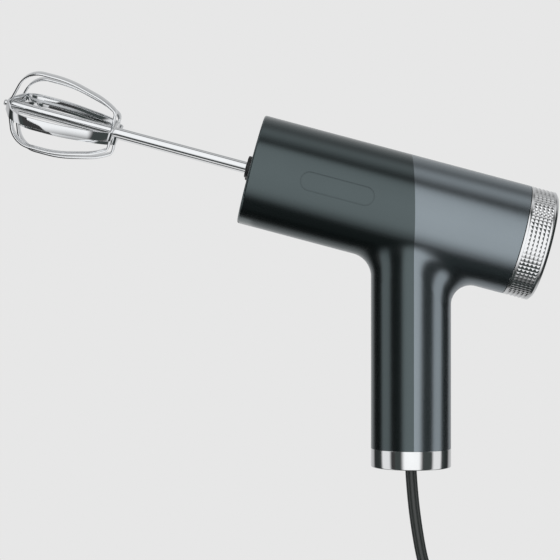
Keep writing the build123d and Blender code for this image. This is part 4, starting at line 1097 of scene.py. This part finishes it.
def studio_world():
    """The panels and the backdrop by direction, and the plain backdrop for the camera."""
    world = bpy.data.worlds.new("studio")
    world.use_nodes = True
    graph = Graph(world.node_tree)
    graph.tree.nodes.clear()
    heading = graph.node("ShaderNodeTexCoord", output="Generated")
    split = graph.node("ShaderNodeSeparateXYZ", {}, {"Vector": heading})
    x, y, z = [Socket(graph, socket) for socket in split.output.node.outputs]
    toward = -1 * y
    azimuth = degrees(x.maths("ARCTAN2", x, toward))
    lift = degrees(z.maths("ARCSINE", z))
    overhead = degrees(z.maths("ARCTAN2", z, toward))
    panel_height = lift.step(*PANEL_LOW_FADE) * lift.step(*PANEL_HIGH_FADE)
    middle = azimuth.band(*MIDDLE_SPAN) * lift.band(*MIDDLE_LIFT_SPAN)
    front = azimuth.band(*FRONT_SPAN) * (FRONT_PANEL + middle * FRONT_MIDDLE)
    sides = (azimuth.band(*LEFT_SPAN) + azimuth.band(*RIGHT_SPAN)) * SIDE_PANEL
    top = overhead.band(*TOP_SPAN) * x.band(*TOP_WIDTH_SPAN) * TOP_PANEL
    room = (front + sides) * panel_height + top + backdrop_glow(x, y, z)
    shadow = 1 - azimuth.size().step(*BEHIND_FADE) * BEHIND_SHADE
    lit = graph.vector("MAXIMUM", graph.scaled(ROOM_DARK, shadow), graph.scaled(PANEL_WHITE, room))
    seen = graph.node("ShaderNodeLightPath", output="Is Camera Ray")
    colour = graph.mix(seen, lit, opaque([BACKDROP] * 3))
    light = graph.node("ShaderNodeBackground", {}, {"Color": colour, "Strength": 1.0})
    graph.node("ShaderNodeOutputWorld", {}, {"Surface": light})
    return world


bpy.context.scene.world = studio_world()
bpy.context.scene.view_settings.view_transform = "Standard"
print("world nodes", len(bpy.context.scene.world.node_tree.nodes))

# %% [markdown]
# ## Cards at the beaters
# Photographers of chrome goods set small cards close to them. A white card lies below and behind the near
# beater and lifts the undersides of the shafts. A dark one stands in front of the beaters, low and to the
# left, and draws the dark ends on the strips. Only reflections show the cards, and only their fronts: the
# white one faces up and the dark one faces the beaters.

# %% Beater cards
WHITE_CARD_X = (-0.36, -0.095)
WHITE_CARD_Y = (0.006, 0.15)
WHITE_CARD_HEIGHT = 0.06
WHITE_CARD_LEVEL = 0.75
DARK_CARD_X = (-0.43, -0.30)
DARK_CARD_Z = (0.08, -0.23)
DARK_CARD_PLACE = -0.255
DARK_CARD_LEVEL = 0.045


def bare_material(name, build):
    """A material whose whole surface shader comes from a function."""
    material = bpy.data.materials.new(name)
    material.use_nodes = True
    graph = Graph(material.node_tree)
    graph.tree.nodes.clear()
    graph.node("ShaderNodeOutputMaterial", {}, {"Surface": build(graph)})
    return material


def glow(graph, level):
    """A plain grey light of the surface itself."""
    return graph.node("ShaderNodeEmission", {}, {"Color": opaque([level] * 3)})


def card(name, corners, level):
    """A flat card that only reflections show, with nothing on its back."""

    def build(graph):
        clear = graph.node("ShaderNodeBsdfTransparent")
        back = graph.node("ShaderNodeNewGeometry", output="Backfacing")
        return graph.node("ShaderNodeMixShader", {}, {0: back, 1: glow(graph, level), 2: clear})

    mesh = bpy.data.meshes.new(name)
    mesh.from_pydata(corners, [], [(0, 1, 2, 3)])
    mesh.materials.append(bare_material(name, build))
    made = bpy.data.objects.new(name, mesh)
    made.visible_camera = False
    made.visible_diffuse = False
    made.visible_shadow = False
    bpy.context.scene.collection.objects.link(made)
    made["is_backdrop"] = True


def corners_round(first, second):
    """The four corners between two pairs of values, in order round the card."""
    return [(first[0], second[0]), (first[1], second[0]), (first[1], second[1]), (first[0], second[1])]


white_corners = [(x, y, WHITE_CARD_HEIGHT) for x, y in corners_round(WHITE_CARD_X, WHITE_CARD_Y)]
dark_corners = [(x, DARK_CARD_PLACE, z) for x, z in corners_round(DARK_CARD_X, DARK_CARD_Z)]
card("white_card", white_corners, WHITE_CARD_LEVEL)
card("dark_card", dark_corners, DARK_CARD_LEVEL)
print("white card", WHITE_CARD_LEVEL, "dark card", DARK_CARD_LEVEL)

# %% [markdown]
# ## The table
# The coil and the plug lie on a plain pale table. Near them it is a matt surface that takes a soft shadow,
# with a little glow of its own that lifts it to the backdrop's grey. Further out only a glow is left, at the
# full grey, so that the table's edge never shows.

# %% Table
TABLE_RADIUS = 0.9
TABLE_SEGMENTS = 96
TABLE_MIDDLE = (0.05, 0.045, FLOOR * MM)
TABLE_NEAR = 0.13
TABLE_FAR = 0.225
TABLE_DROP = 0.0002
TABLE_ALBEDO = 0.80
TABLE_GLOW = 0.45


def table_top(graph):
    """Matt and a little lit near the coil, and only lit further out."""
    point = graph.node("ShaderNodeTexCoord", output="Object")
    reach = graph.number("LENGTH", graph.vector("SUBTRACT", point, TABLE_MIDDLE))
    matt = graph.node("ShaderNodeBsdfDiffuse", {}, {"Color": opaque([TABLE_ALBEDO] * 3)})
    near = graph.node("ShaderNodeAddShader", {}, {0: matt, 1: glow(graph, TABLE_GLOW)})
    far = reach.step(TABLE_NEAR, TABLE_FAR)
    return graph.node("ShaderNodeMixShader", {}, {0: far, 1: near, 2: glow(graph, BACKDROP)})


shape = bmesh.new()
bmesh.ops.create_circle(shape, cap_ends=True, segments=TABLE_SEGMENTS, radius=TABLE_RADIUS)
table_mesh = mesh_of("table", shape)
table_mesh.transform(Matrix.Translation((0, 0, FLOOR * MM - TABLE_DROP)))
table_mesh.materials.append(bare_material("table", table_top))
table = bpy.data.objects.new("table", table_mesh)
table.visible_glossy = False
table.visible_diffuse = False
bpy.context.scene.collection.objects.link(table)
table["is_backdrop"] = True
print("table at", round(FLOOR * MM, 4))

# %% [markdown]
# ## Sizes and the end
# The dressed mixer keeps the size of the solids. The box of the dressed pieces is printed.

# %% Finish
low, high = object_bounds()
print("visual box", [round(size, 4) for size in high - low])
